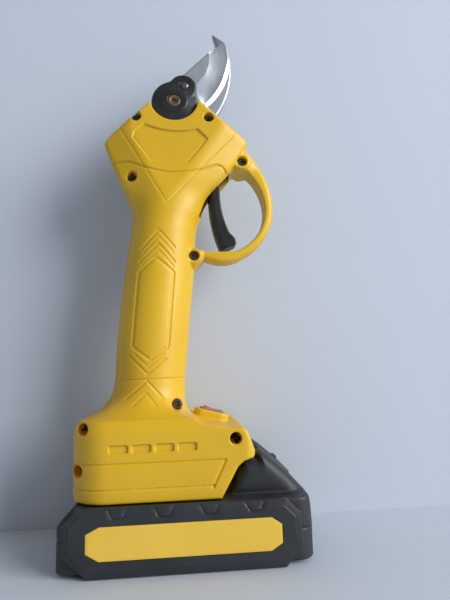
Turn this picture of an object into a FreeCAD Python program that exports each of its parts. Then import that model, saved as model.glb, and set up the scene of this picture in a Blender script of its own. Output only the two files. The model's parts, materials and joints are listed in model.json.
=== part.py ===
"""Battery electric pruner, as a parametric FreeCAD document in millimetres.

The frame: origin at the centre of the battery's bottom face, +Z up, +X forwards (the trigger side),
and the plane y = 0 is the plane where the two housing halves meet. The side at -Y is the screw side.
The drive frame has its origin at the blade pivot and its own Z axis up the leaning handle.
"""
import FreeCAD, Part
import math
import os

import Sketcher

from FreeCAD import Placement, Rotation, Vector

DIMS = {
    # blade pivot and drive line
    "pivot_x": -1.6,
    "pivot_z": 239.0,
    "lean": 5.0,
    "running_gap": 0.05,
    # housing
    "wall": 2.6,
    "head_half": 18.0,
    "head_shoulder": 11.0,
    "foot_half": 33.5,
    "foot_bottom": 29.0,
    "foot_rear": 53.5,
    "guard_half": 6.0,
    "cap_recess_radius": 13.5,
    "channel_half": 20.5,
    "channel_top": 41.0,
    "rail_groove_half": 24.5,
    # housing screws
    "screw_head_radius": 2.6,
    "screw_head_height": 2.2,
    "screw_radius": 1.45,
    "screw_well_radius": 2.8,
    "boss_radius": 3.3,
    # blades
    "blade_thick": 4.0,
    "hook_thick": 4.8,
    "bolt_radius": 4.0,
    "cap_radius": 12.9,
    "lobe_radius": 7.7,
    "cap_front": 15.5,
    "cap_back": 8.8,
    # bevel drive
    "bevel_module": 1.0,
    "pinion_teeth": 9,
    "sector_teeth": 36,
    "bevel_face": 4.9,
    "shaft_radius": 3.0,
    "bearing_radius": 6.5,
    "bearing_width": 5.0,
    # planetary gearbox
    "planet_module": 0.5,
    "sun_teeth": 12,
    "planet_teeth": 15,
    "ring_teeth": 42,
    "planet_face": 5.0,
    "gearbox_radius": 14.0,
    "gearbox_top": 35.0,
    "gearbox_bottom": 50.0,
    # motor
    "motor_bottom": 98.0,
    "motor_wall": 1.5,
    "motor_shaft_radius": 1.5,
    "rotor_radius": 7.2,
    # trigger
    "trigger_pin_x": 17.5,
    "trigger_pin_z": 200.5,
    "trigger_half": 5.5,
    "trigger_pin_radius": 1.5,
    # rocker switch
    "rocker_x": 15.1,
    "rocker_z": 65.2,
    "rocker_slope": 14.5,
    "rocker_length": 13.0,
    "rocker_width": 10.5,
    # battery
    "pack_half": 38.0,
    "core_half": 35.2,
    "core_rear": 57.5,
    "core_front": 60.0,
    "core_bottom": 1.4,
    "deck": 28.6,
    "case_wall": 1.8,
    "case_split": 15.0,
    "cell_diameter": 18.4,
    "cell_length": 65.2,
    "cell_pitch": 19.0,
    "cell_height": 13.2,
    "button_half": 9.0,
}

doc = FreeCAD.newDocument("battery_pruner")
sheet = doc.addObject("Spreadsheet::Sheet", "dims")
for row, (alias, value) in enumerate(DIMS.items(), start=1):
    sheet.set(f"A{row}", alias)
    sheet.set(f"B{row}", str(value))
    sheet.setAlias(f"B{row}", alias)
doc.recompute()

NODES = []
TO_PLUS_Y = Rotation(Vector(1, 0, 0), -90)
TO_PLUS_X = Rotation(Vector(0, 1, 0), 90)
LEVEL = Rotation()


def dim(alias):
    """The value in a cell of the dimension sheet."""
    return float(sheet.get(alias))


PIVOT = Vector(dim("pivot_x"), 0, dim("pivot_z"))
DRIVE = Placement(PIVOT, Rotation(Vector(0, 1, 0), dim("lean")))
ROCKER = Placement(
    Vector(dim("rocker_x"), 0, dim("rocker_z")),
    Rotation(Vector(0, 1, 0), dim("rocker_slope")),
)


# ---------------------------------------------------------------- helpers


def bind(item, prop, value):
    """Sets a property: a string is an expression on the sheet, anything else a plain value."""
    if isinstance(value, str):
        item.setExpression(prop, value)
    else:
        setattr(item, prop, value)


def primitive(kind, at, turn=LEVEL, frame=None, **sizes):
    """A Part primitive with bound sizes, placed in the main frame or in another frame."""
    item = doc.addObject("Part::" + kind, kind.lower())
    for prop, value in sizes.items():
        bind(item, prop, value)
    place = Placement(Vector(*at), turn)
    item.Placement = frame.multiply(place) if frame else place
    return item


def rod_y(x, z, start, length, radius, frame=None):
    """A cylinder along +Y from y = start."""
    return primitive("Cylinder", (x, start, z), TO_PLUS_Y, frame, Radius=radius, Height=length)


def rod_z(x, y, bottom, length, radius, frame=None):
    """A cylinder along the frame's own Z from z = bottom."""
    return primitive("Cylinder", (x, y, bottom), LEVEL, frame, Radius=radius, Height=length)


def block(low, high, frame=None):
    """A box between two opposite corners."""
    size = [high[i] - low[i] for i in range(3)]
    return primitive("Box", low, LEVEL, frame, Length=size[0], Width=size[1], Height=size[2])


def fuse(*items):
    """One solid, or a group of separate solids, from several."""
    if len(items) == 1:
        return items[0]
    joined = doc.addObject("Part::MultiFuse", "fuse")
    joined.Shapes = list(items)
    return joined


def cut(base, *tools):
    """The base less all the tools."""
    rest = doc.addObject("Part::Cut", "cut")
    rest.Base = base
    rest.Tool = fuse(*tools)
    return rest


def common(*items):
    """What all the items share."""
    shared = doc.addObject("Part::MultiCommon", "common")
    shared.Shapes = list(items)
    return shared


def group(*items):
    """Separate solids kept apart in one node."""
    kept = doc.addObject("Part::Compound", "group")
    kept.Links = list(items)
    return kept


def node(label, item):
    """Marks the finished object of one sub-part and gives it its label."""
    item.Label = label
    NODES.append(item)
    return item


def outline_edges(path):
    """Edges of a closed outline of (u, v) or (u, v, radius) corners.

    An item ("via", u, v) bends the side between its neighbours into an arc.
    """
    turns = []
    for item in path:
        if item[0] == "via":
            turns[-1]["via"] = Vector(item[1], item[2], 0)
        else:
            at = Vector(item[0], item[1], 0)
            turns.append({"at": at, "radius": item[2] if len(item) > 2 else 0, "via": None})
    for index, turn in enumerate(turns):
        turn["come"] = turn["leave"] = turn["at"]
        if turn["radius"] > 0:
            back = (turns[index - 1]["at"] - turn["at"]).normalize()
            ahead = (turns[(index + 1) % len(turns)]["at"] - turn["at"]).normalize()
            half = back.getAngle(ahead) / 2
            trim = turn["radius"] / math.tan(half)
            inward = (back + ahead).normalize()
            turn["come"] = turn["at"] + back * trim
            turn["leave"] = turn["at"] + ahead * trim
            turn["middle"] = turn["at"] + inward * (turn["radius"] / math.sin(half) - turn["radius"])
    edges = []
    for index, turn in enumerate(turns):
        after = turns[(index + 1) % len(turns)]
        if turn["radius"] > 0:
            edges.append(Part.Arc(turn["come"], turn["middle"], turn["leave"]))
        if turn["via"]:
            edges.append(Part.Arc(turn["leave"], turn["via"], after["come"]))
        elif turn["leave"].distanceToPoint(after["come"]) > 1e-6:
            edges.append(Part.LineSegment(turn["leave"], after["come"]))
    return edges


def origin_plane(body, role):
    """One of a body's own origin planes."""
    return next(plane for plane in body.Origin.OriginFeatures if plane.Role == role)


def draw(body, role, offset, outline, holes=()):
    """A sketch on a body's origin plane, moved along the plane's normal by the offset."""
    sketch = body.newObject("Sketcher::SketchObject", "sketch")
    sketch.AttachmentSupport = [(origin_plane(body, role), "")]
    sketch.MapMode = "FlatFace"
    if isinstance(offset, str):
        sketch.setExpression(".AttachmentOffset.Base.z", offset)
    else:
        sketch.AttachmentOffset = Placement(Vector(0, 0, offset), Rotation())
    sketch.addGeometry(outline_edges(outline), False)
    for u, v, radius in holes:
        index = sketch.addGeometry(Part.Circle(Vector(u, v, 0), Vector(0, 0, 1), 1.0), False)
        which = sketch.addConstraint(Sketcher.Constraint("Radius", index, 1.0))
        bind_radius(sketch, which, radius)
    return sketch


def bind_radius(sketch, which, radius):
    """Ties a circle's radius to the sheet, or sets it."""
    if isinstance(radius, str):
        sketch.setExpression(f"Constraints[{which}]", radius)
    else:
        sketch.setDatum(which, FreeCAD.Units.Quantity(f"{radius} mm"))


def pad(body, sketch, length):
    """A pad along the sketch's normal."""
    feature = body.newObject("PartDesign::Pad", "pad")
    feature.Profile = sketch
    bind(feature, "Length", length)
    return feature


def side_plate(outline, back, depth, holes=(), frame=None):
    """A body with an XZ outline, padded from y = back towards -Y."""
    body = doc.addObject("PartDesign::Body", "body")
    offset = f"-({back})" if isinstance(back, str) else -back
    pad(body, draw(body, "XZ_Plane", offset, outline, holes), depth)
    if frame:
        body.Placement = frame
    return body


def plan_plate(outline, bottom, height, holes=(), frame=None):
    """A body with an XY outline, padded up from z = bottom."""
    body = doc.addObject("PartDesign::Body", "body")
    pad(body, draw(body, "XY_Plane", bottom, outline, holes), height)
    if frame:
        body.Placement = frame
    return body


def front_plate(outline, rear, length):
    """A body with a YZ outline, padded from x = rear towards +X."""
    body = doc.addObject("PartDesign::Body", "body")
    pad(body, draw(body, "YZ_Plane", rear, outline), length)
    return body


def loft(sections, ruled):
    """A solid loft through closed section objects."""
    item = doc.addObject("Part::Loft", "loft")
    item.Sections = sections
    item.Solid = True
    item.Ruled = ruled
    return item


def polygon_section(points):
    """A closed polygon through 3D points, as a loft section."""
    item = doc.addObject("Part::Feature", "section")
    item.Shape = Part.makePolygon([Vector(*p) for p in points] + [Vector(*points[0])])
    return item


def inset(points, distance):
    """A polygon's corners moved inwards by a distance, whichever way round they run."""
    moved = []
    pairs = zip(points, points[1:] + points[:1])
    turning = sum(a[0] * b[1] - b[0] * a[1] for a, b in pairs)
    distance = -distance if turning > 0 else distance
    for index, point in enumerate(points):
        here = Vector(point[0], point[1], 0)
        before = Vector(*points[index - 1][:2], 0)
        after = Vector(*points[(index + 1) % len(points)][:2], 0)
        come = (here - before).normalize()
        leave = (after - here).normalize()
        inward = (Vector(come.y, -come.x, 0) + Vector(leave.y, -leave.x, 0)).normalize()
        cosine = inward.dot(Vector(come.y, -come.x, 0))
        here = here + inward * (distance / cosine)
        moved.append((here.x, here.y))
    return moved


def box_outline(low, high, radius=0):
    """A rectangle's corners, rounded when a radius is given."""
    corners = [(low[0], low[1]), (low[0], high[1]), (high[0], high[1]), (high[0], low[1])]
    return [corner + (radius,) for corner in corners]


# ---------------------------------------------------------------- housing


HEAD_OUTLINE = [
    (-14.6, 240.0),
    (-32.8, 224.3),
    (-40.0, 220.0),
    (-41.2, 214.8),
    (-37.2, 203.2),
    (-26.9, 178.0),
    (15.0, 178.0),
    (22.0, 188.5),
    (33.0, 202.0),
    (39.8, 210.2),
    (38.4, 215.8),
    (21.6, 230.4),
    (12.0, 240.0),
]
HEAD_FACE = [
    (-14.0, 238.8),
    (-31.4, 223.0),
    (-30.6, 220.4),
    (-28.4, 216.2),
    (-21.0, 203.4),
    (-7.4, 179.4),
    (-4.6, 179.4),
    (2.0, 186.4),
    (17.6, 203.4),
    (24.0, 210.2),
    (29.0, 215.8),
    (20.8, 229.4),
    (11.4, 238.8),
]
# handle sections: height, middle in x, half width in x, half width in y
HANDLE_SECTIONS = [
    (72.0, -18.4, 19.6, 19.0),
    (84.0, -17.3, 18.8, 18.4),
    (100.0, -16.0, 19.4, 18.6),
    (120.0, -14.3, 19.5, 18.8),
    (140.0, -12.4, 19.8, 18.8),
    (157.0, -10.5, 18.9, 18.4),
    (168.0, -8.6, 18.4, 18.0),
    (180.0, -5.8, 21.4, 17.6),
    (192.0, -4.2, 28.2, 17.0),
]
FOOT_SIDE = [
    (17.4, 29.0),
    (25.6, 43.0, 3.0),
    (28.6, 45.4, 2.0),
    (33.6, 46.6, 1.5),
    (34.2, 49.2, 1.5),
    (30.0, 60.8, 4.0),
    (22.0, 61.0, 3.0),
    (7.0, 64.4, 3.0),
    (2.6, 74.0, 4.0),
    (1.4, 82.0),
    (-35.8, 82.0),
    (-37.4, 74.6, 5.0),
    (-48.0, 68.6, 6.0),
    (-53.5, 64.0, 4.0),
    (-53.5, 32.0, 3.0),
    (-51.0, 29.0),
]
# screws: x, z, y of the head's outer face, and length
SCREWS = {
    "head_rear": (-22.7, 227.6, -15.0, 22.0),
    "head_front": (17.4, 227.4, -15.0, 22.0),
    "neck_rear": (-25.4, 194.0, -10.0, 22.0),
    "guard_top": (36.2, 205.2, -7.6, 14.0),
    "guard_bottom": (7.6, 150.2, -7.6, 14.0),
    "handle_foot": (-2.6, 71.4, -14.0, 22.0),
    "foot_rear_top": (-46.7, 62.0, -14.0, 22.0),
    "foot_rear_low": (-49.2, 43.0, -12.0, 22.0),
    "foot_front": (24.8, 55.8, -16.0, 22.0),
}


def head_solid(depth):
    """The head inside its outer surface by a depth: a faceted shield on each side."""
    half = dim("head_half") - depth
    shoulder = dim("head_shoulder") - depth * 0.4
    sections = []
    layers = ((-half, HEAD_FACE), (-shoulder, HEAD_OUTLINE), (shoulder, HEAD_OUTLINE), (half, HEAD_FACE))
    for y, points in layers:
        corners = inset(points, depth) if depth else points
        sections.append(polygon_section([(x, y, z) for x, z in corners]))
    return loft(sections, ruled=True)


def handle_solid(depth, lowest):
    """The handle inside its outer surface by a depth: a smooth loft of leaning ellipses."""
    rings = []
    for height, middle, half_x, half_y in HANDLE_SECTIONS:
        if height < lowest:
            continue
        radii = {"MajorRadius": half_x - depth, "MinorRadius": half_y - depth}
        ring = primitive("Ellipse", (middle, 0, height), **radii)
        rings.append(ring)
    return loft(rings, ruled=False)


def foot_solid(depth, bottom):
    """The foot inside its outer surface by a depth: what its side, plan and front outlines share."""
    half = dim("foot_half") - depth
    rear = dim("foot_rear") - depth
    top = 82.0 - depth
    side_corners = inset(FOOT_SIDE, depth) if depth else FOOT_SIDE
    side = side_plate(side_corners, half, 2 * half)
    plan = plan_plate(
        [(-rear, -half, 19.0 - depth), (-rear, half, 19.0 - depth), (36.0, half, 9.0), (36.0, -half, 9.0)],
        bottom,
        top - bottom,
    )
    front = front_plate(
        [
            (-half, bottom),
            (-half, 58.4 - depth, 3.0),
            (-30.0 + depth, 66.0 - depth, 5.0),
            (-22.0 + depth, 71.5 - depth, 6.0),
            (-19.0 + depth, top),
            (19.0 - depth, top),
            (22.0 - depth, 71.5 - depth, 6.0),
            (30.0 - depth, 66.0 - depth, 5.0),
            (half, 58.4 - depth, 3.0),
            (half, bottom),
        ],
        -60.0,
        110.0,
    )
    return common(side, plan, front)


def guard_solid():
    """The finger guard: a D-shaped ring that joins the head to the handle."""
    half = dim("guard_half")
    outer = [
        (20.0, 205.0),
        (36.0, 214.0),
        (40.0, 211.8),
        ("via", 50.6, 195.6),
        (53.6, 179.5),
        ("via", 49.4, 163.4),
        (35.5, 150.6),
        ("via", 27.6, 147.3),
        (19.4, 147.5),
        (12.5, 149.4, 3.0),
        (8.0, 144.0),
        (-4.0, 146.0),
        (-4.0, 160.0),
    ]
    opening = [
        (6.0, 153.6),
        (31.0, 153.6),
        ("via", 43.2, 162.2),
        (48.8, 177.5),
        ("via", 46.4, 189.6),
        (40.0, 199.6),
        ("via", 35.4, 201.6),
        (29.6, 200.4),
        (6.0, 176.0),
    ]
    ring = side_plate(outer, half, 2 * half)
    return cut(ring, side_plate(opening, half + 1, 2 * half + 2))


def rocker_boss():
    """The raised, rounded seat of the power switch on the sloping top of the foot."""
    outline = box_outline((-9.4, -7.4), (9.4, 7.4), 5.0)
    return plan_plate(outline, -7.0, 8.4, frame=ROCKER)


def outer_solid():
    """Everything that the two housing halves enclose, before hollowing."""
    bosses = []
    for name in ("guard_top", "guard_bottom"):
        x, z = SCREWS[name][:2]
        bosses.append(rod_y(x, z, -9.5, 19.0, 4.3))
    foot = foot_solid(0, dim("foot_bottom"))
    return fuse(head_solid(0), handle_solid(0, 0), foot, guard_solid(), rocker_boss(), *bosses)


def cavity_solid():
    """The hollow inside the halves, above the floor of the foot."""
    wall = dim("wall")
    floor = dim("channel_top") + 2.0
    passage = rod_z(-17.0, 0, 66.0, 24.0, 14.0)
    return fuse(head_solid(wall), handle_solid(wall, 80.0), foot_solid(wall, floor), passage)


def screw_bosses():
    """The posts that the housing screws pass through, from the outer wall to the mid plane."""
    posts = [rod_y(*screw[:2], -40.0, 80.0, "dims.boss_radius") for screw in SCREWS.values()]
    for start in (-20.0, dim("trigger_half") + 0.5):
        reach = 20.0 - dim("trigger_half") - 0.5
        posts.append(rod_y(dim("trigger_pin_x"), dim("trigger_pin_z"), start, reach, 3.4))
    return posts


def screw_holes():
    """The wells for the heads, the clearance holes on the head side and the pilot holes beyond."""
    holes = []
    for x, z, head_face, length in SCREWS.values():
        seat = head_face + dim("screw_head_height") + 0.05
        holes.append(rod_y(x, z, -40.0, seat + 40.0, "dims.screw_well_radius"))
        holes.append(rod_y(x, z, seat - 1, 1 - seat, "dims.screw_radius + 0.15"))
        holes.append(rod_y(x, z, -0.1, head_face + length + 0.6, "dims.screw_radius + 0.02"))
    return holes


def drive_room():
    """The room that the drive line needs: the cap's recess, the gear case, the gearbox and the motor."""
    pivot_x, pivot_z = dim("pivot_x"), dim("pivot_z")
    recess = rod_y(pivot_x, pivot_z, -40.0, 80.0, "dims.cap_recess_radius")
    mouth = block((pivot_x - 13.5, -40, pivot_z), (pivot_x + 13.5, 40, pivot_z + 20))
    blade_slot = block((-40, -9.2, pivot_z - 9.2), (45, 5.4, pivot_z + 20))
    swing = rod_y(pivot_x, pivot_z, -9.2, 25.0, 19.4)
    line = rod_z(0, 0, -dim("motor_bottom") - 6, dim("motor_bottom") - 12, 14.15, DRIVE)
    case = block((-24.0, 0.0, -16.0), (24.0, 14.2, 6.0), DRIVE)
    return [recess, mouth, blade_slot, swing, line, case]


def battery_channel():
    """The channel under the foot, with a groove along each side, that the battery's rails slide into."""
    half, groove, top = dim("channel_half"), dim("rail_groove_half"), dim("channel_top")
    return [
        block((-40.0, -half, 20.0), (60.0, half, top)),
        block((-40.0, -groove, 33.0), (60.0, groove, 37.4)),
        block((22.0, -27.0, 20.0), (60.0, 27.0, 45.0)),
        block((-44.0, -16.5, 30.0), (-39.0, 16.5, top)),
    ]


def surface_grooves():
    """Shallow grooves and recesses moulded into both sides."""
    tools = []
    half, depth = dim("foot_half"), 0.6
    for height in (35.2, 46.6):
        ring = block((-60.0, -half - 1, height - 0.5), (60.0, half + 1, height + 0.5))
        inner = plan_plate(
            [
                (-53.5 + depth, -half + depth, 18.4),
                (-53.5 + depth, half - depth, 18.4),
                (60, half - depth),
                (60, -half + depth),
            ],
            height - 1.0,
            2.0,
        )
        front = 19.4 if height > 40 else 13.6
        limit = block((-60.0, -half - 1, height - 1), (front, half + 1, height + 1))
        tools.append(common(cut(ring, inner), limit))
    for index in range(4):
        low = -34.0 + 10.55 * index
        for y in (-half, half - depth):
            tools.append(block((low, y, 51.4), (low + 8.9, y + depth, 54.9)))
    recess = [
        (-18.1, 222.9),
        (-1.8, 219.6),
        (11.9, 220.1),
        (16.5, 214.3),
        (4.8, 200.1),
        (-15.4, 202.1),
        (-24.6, 216.6),
    ]
    for back in (-dim("head_half") + 0.7, dim("head_half") + 0.1):
        tools.append(side_plate(recess, back, 0.8))
    return tools


def housing_halves():
    """The two halves of the housing, cut apart on the mid plane."""
    slot_half = dim("trigger_half") + 0.3
    slot_outline = [(12.0, 206.0), (29.0, 204.0), (29.0, 182.0), (10.0, 170.0)]
    trigger_slot = side_plate(slot_outline, slot_half, 2 * slot_half)
    switch_slot = block((-5.9, -4.6, -12.0), (5.9, 4.6, 6.0), ROCKER)
    hollow = cut(outer_solid(), cavity_solid())
    posts = common(outer_solid(), fuse(*screw_bosses()))
    posted = fuse(hollow, posts)
    pin_hole_radius = "dims.trigger_pin_radius + 0.02"
    pin_hole = rod_y(dim("trigger_pin_x"), dim("trigger_pin_z"), -11.0, 22.0, pin_hole_radius)
    shell = cut(
        posted,
        trigger_slot,
        switch_slot,
        pin_hole,
        *screw_holes(),
        *drive_room(),
        *battery_channel(),
        *surface_grooves(),
    )
    near = common(shell, block((-70, -50, 20), (70, 0, 260)))
    far = common(shell, block((-70, 0, 20), (70, 50, 260)))
    node("housing_right", near)
    node("housing_left", far)


def housing_screws():
    """Nine self-tapping screws, heads towards -Y."""
    screws = []
    for x, z, head_face, length in SCREWS.values():
        head = rod_y(x, z, head_face, "dims.screw_head_height", "dims.screw_head_radius")
        shank = rod_y(x, z, head_face + 1, length - 1, "dims.screw_radius")
        drive = rod_y(x, z, head_face - 0.1, 1.3, 1.2)
        screws.append(cut(fuse(head, shank), drive))
    node("housing_screws", group(*screws))


# ---------------------------------------------------------------- blades and cap

DOWEL_ANGLES = (math.radians(80), math.radians(200), math.radians(320))
# x and z of the two screws that hold the fixed blade
HOOK_SCREWS = ((-15.6, 233.4), (14.2, 234.0))
# the cap's lobe, from the pivot
LOBE = (5.0, 8.8)


def blades():
    """The moving blade and the fixed hook blade, one sliding on the other."""
    gap = "dims.running_gap"
    px, pz = dim("pivot_x"), dim("pivot_z")
    moving = [
        (px - 11.4, pz + 3.0),
        ("via", px - 6.0, pz + 10.4),
        (4.8, 263.5),
        (28.8, 287.0),
        ("via", 32.0, 276.0),
        (31.4, 267.4),
        ("via", 26.4, 254.4),
        (17.4, 243.6),
        (9.8, 238.0),
        ("via", px, pz - 12.0),
    ]
    moving_blade = side_plate(moving, "-dims.running_gap", "dims.blade_thick")
    bore = bolt_bore()
    dowels = [rod_y(px + 8 * math.cos(a), pz + 8 * math.sin(a), -20, 40, 1.5) for a in DOWEL_ANGLES]
    node("moving_blade", cut(moving_blade, bore, *dowels))

    hook = [
        (-20.0, 236.0, 2.0),
        (-11.0, 244.5),
        ("via", -1.0, 251.0),
        (9.0, 248.0),
        ("via", 20.6, 262.0),
        (24.4, 285.6),
        (22.2, 294.2),
        (29.7, 288.2),
        ("via", 32.6, 266.0),
        (22.0, 237.2),
        (19.0, 230.0, 2.0),
        (9.0, 230.0),
        ("via", px, pz - 11.4),
        (-12.0, 230.0),
        (-20.0, 230.0, 2.0),
    ]
    blade = side_plate(hook, "dims.running_gap + dims.hook_thick", "dims.hook_thick")
    holes = [rod_y(x, z, -1, 8, 1.8) for x, z in HOOK_SCREWS]
    for x, z in HOOK_SCREWS:
        holes.append(primitive("Cone", (x, 0, z), TO_PLUS_Y, Radius1=3.1, Radius2=1.78, Height=1.7))
    node("fixed_blade", cut(blade, bolt_bore(), *holes))


def bolt_bore():
    """The bolt's bore through the blades and the case."""
    return rod_y(dim("pivot_x"), dim("pivot_z"), -20, 40, "dims.bolt_radius + 0.05")


def pivot_parts():
    """The cap that turns with the moving blade, its lock screw, and the fixed bolt and nut."""
    px, pz = dim("pivot_x"), dim("pivot_z")
    front, back = -dim("cap_front"), -dim("cap_back")
    rim_front = front + 1.6
    big = rod_y(px, pz, rim_front, back - rim_front, "dims.cap_radius")
    lobe = rod_y(px + LOBE[0], pz + LOBE[1], rim_front, back - rim_front, "dims.lobe_radius")
    crown = primitive("Cone", (px, front, pz), TO_PLUS_Y, Radius1=7.0, Radius2=dim("cap_radius"), Height=1.6)
    hollow = rod_y(px, pz, back - 4.0, 4.2, 9.6)
    bolt_hole = rod_y(px, pz, front - 1, 20, 3.75)
    lock_x, lock_z = px + LOBE[0] + 1.0, pz + LOBE[1] + 0.9
    lock_hole = rod_y(lock_x, lock_z, front - 2, 14, 1.6)
    lock_sink = rod_y(lock_x, lock_z, front - 2, 4.4, 2.7)
    node("pivot_cap", cut(fuse(big, lobe, crown), hollow, bolt_hole, lock_hole, lock_sink))
    lock_head = rod_y(lock_x, lock_z, front + 0.6, 1.7, 2.5)
    lock_shank = rod_y(lock_x, lock_z, front + 2.2, 4.6, 1.5)
    node("cap_screw", fuse(lock_head, lock_shank))

    head = rod_y(px, pz, front + 0.4, 1.4, 3.6)
    upper = rod_y(px, pz, front + 1.6, 5.2, 3.6)
    shank = rod_y(px, pz, front + 6.6, 27.4, "dims.bolt_radius")
    socket = rod_y(px, pz, front, 2.2, 1.5)
    node("pivot_bolt", cut(fuse(head, upper, shank), socket))
    nut = primitive("Prism", (px, 13.1, pz), TO_PLUS_Y, Polygon=6, Circumradius=7.5, Height=4.8)
    node("pivot_nut", cut(nut, rod_y(px, pz, 13, 8, "dims.bolt_radius + 0.02")))


# ---------------------------------------------------------------- bevel drive


def pitch_values():
    """Pitch radii, cone distance and cone angles of the bevel pair, whose common apex is the pivot."""
    pinion = dim("bevel_module") * dim("pinion_teeth") / 2
    sector = dim("bevel_module") * dim("sector_teeth") / 2
    reach = math.hypot(pinion, sector)
    return pinion, sector, reach


def involute_tooth(virtual_radius, thickness, add, ded):
    """Half-width of a spur tooth at a few radii from root to tip, for one virtual pitch radius."""
    pressure = math.radians(20)
    base = virtual_radius * math.cos(pressure)
    start = math.tan(pressure) - pressure
    widths = []
    for share in (0.0, 0.25, 0.5, 0.75, 1.0):
        radius = virtual_radius - ded + share * (add + ded)
        lean = math.acos(min(1.0, base / radius))
        angle = thickness / (2 * virtual_radius) + start - (math.tan(lean) - lean)
        widths.append((radius, angle))
    return widths


def pinion_section(scale):
    """The pinion's toothed outline in a plane across its axis, scaled towards the apex."""
    pinion, sector, reach = pitch_values()
    stretch = reach / sector
    teeth = int(dim("pinion_teeth"))
    widths = involute_tooth(pinion * stretch, 1.34, 0.9, 0.72)
    points = []
    for tooth in range(teeth):
        middle = -math.pi / 2 + 2 * math.pi * tooth / teeth
        flanks = [(r, middle - a * stretch) for r, a in widths]
        flanks += [(r, middle + a * stretch) for r, a in reversed(widths)]
        for radius, angle in flanks:
            true = (radius - pinion * stretch) * (sector / reach) + pinion
            points.append((true * scale * math.cos(angle), true * scale * math.sin(angle), -sector * scale))
    return points


def drive_pinion():
    """The bevel pinion and its shaft, in the drive frame."""
    pinion, sector, reach = pitch_values()
    inner = 1 - dim("bevel_face") / reach
    ends = [polygon_section(pinion_section(share)) for share in (1.0, inner)]
    toothed = loft(ends, ruled=True)
    toothed.Placement = DRIVE
    foot = -dim("gearbox_top") - 4.4
    shaft = rod_z(0, 0, foot, 0.1 - sector - foot, "dims.shaft_radius - 0.02", DRIVE)
    node("bevel_pinion", fuse(toothed, shaft))


def sector_tooth(angle, thickness, add, ded):
    """One tooth of the sector, as a ruled loft that narrows towards the apex."""
    pinion, sector, reach = pitch_values()
    along = Vector(0, -pinion, -sector) * (1 / reach)
    normal = Vector(0, sector, -pinion) * (1 / reach)
    across = Vector(1, 0, 0)
    slope = math.tan(math.radians(20))
    sections = []
    for distance in (reach + 0.2, reach - dim("bevel_face")):
        scale = distance / reach
        centre = along * distance
        corners = []
        for height, side in ((-ded - 0.3, -1), (add, -1), (add, 1), (-ded - 0.3, 1)):
            half = thickness / 2 - height * slope
            corners.append(centre + normal * (height * scale) + across * (side * half * scale))
        turn = Rotation(Vector(0, 1, 0), math.degrees(angle))
        sections.append(polygon_section([tuple(turn.multVec(corner)) for corner in corners]))
    return loft(sections, ruled=True)


def blade_gear():
    """The bevel gear sector that turns the moving blade, dowelled to the blade's front face."""
    pinion, sector, reach = pitch_values()
    back, front = -dim("blade_thick") - dim("running_gap"), -dim("cap_back") + 0.1
    root = 1.05
    hub = rod_y(0, 0, front, back - front, 11.8)
    cone_side = pinion / sector
    inner_radius = sector * (1 - dim("bevel_face") / reach) - 0.2
    profile = [
        (10.0, front),
        (10.0, -inner_radius * cone_side - root),
        (inner_radius, -inner_radius * cone_side - root),
        (sector + 0.2, -(sector + 0.2) * cone_side - root),
        (sector + 0.2, front),
    ]
    rim = doc.addObject("Part::Revolution", "rim")
    rim.Source = polygon_section([(r, y, 0) for r, y in profile])
    rim.Axis = (0, 1, 0)
    rim.Angle = 96.0
    rim.Solid = True
    rim.Placement = Placement(Vector(0, 0, 0), Rotation(Vector(0, 1, 0), 72.0))
    step = 2 * math.pi / dim("sector_teeth")
    teeth = [sector_tooth((index + 0.5) * step, 1.34, 0.5, root) for index in range(-2, 7)]
    whole = fuse(hub, rim, *teeth)
    whole.Placement = DRIVE
    bore = bolt_bore()
    places = [(PIVOT.x + 8 * math.cos(a), PIVOT.z + 8 * math.sin(a)) for a in DOWEL_ANGLES]
    dowels = [rod_y(x, z, -20, 40, 1.5) for x, z in places]
    node("blade_gear", cut(whole, bore, *dowels))
    pins = [rod_y(x, z, -8.4, 8.2, 1.48) for x, z in places]
    node("drive_dowels", group(*pins))


def gear_case():
    """The cast case: a plate behind the hook blade, a bearing tube and a gearbox flange."""
    sector = pitch_values()[1]
    outline = [
        (-19.0, -2.0, 4),
        (-9.0, 9.5, 6),
        (9.0, 9.5, 6),
        (20.0, 0.0, 3),
        (18.4, -6.4, 3),
        (9.6, -13.6),
        (9.6, -33.0),
        (-9.6, -33.0),
        (-9.6, -13.6),
        (-17.4, -9.6, 3),
    ]
    plate = side_plate(outline, 13.0, 8.05, frame=DRIVE)
    tube = rod_z(0, 0, -33.0, 13.4, 9.6, DRIVE)
    flange = rod_z(0, 0, -dim("gearbox_top") + 0.02, 3.0, "dims.gearbox_radius", DRIVE)
    bearing_bore = rod_z(0, 0, -dim("gearbox_top") - 1, 15.5, "dims.bearing_radius + 0.02", DRIVE)
    shaft_hole = rod_z(0, 0, -dim("gearbox_top") - 1, 20.0, "dims.shaft_radius + 0.4", DRIVE)
    pinion_room = rod_z(0, 0, -sector - 1.5, 7.5, 6.3, DRIVE)
    threads = [rod_y(x, z, 4, 8, 1.72) for x, z in HOOK_SCREWS]
    holes = [bearing_bore, shaft_hole, pinion_room, bolt_bore(), *threads]
    node("gear_case", cut(fuse(plate, tube, flange), *holes))
    screws = []
    for x, z in HOOK_SCREWS:
        head = primitive("Cone", (x, 0.08, z), TO_PLUS_Y, Radius1=3.0, Radius2=1.7, Height=1.6)
        shank = rod_y(x, z, 1.0, 10.0, 1.7)
        screws.append(cut(fuse(head, shank), rod_y(x, z, 0, 1.2, 1.2)))
    node("fixed_blade_screws", group(*screws))
    bearings = []
    for bottom in (-25.6, -32.6):
        ring = rod_z(0, 0, bottom, "dims.bearing_width", "dims.bearing_radius", DRIVE)
        bearings.append(cut(ring, rod_z(0, 0, bottom - 1, 7.0, "dims.shaft_radius", DRIVE)))
    node("pinion_bearings", group(*bearings))


# ---------------------------------------------------------------- planetary gearbox and motor


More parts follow.
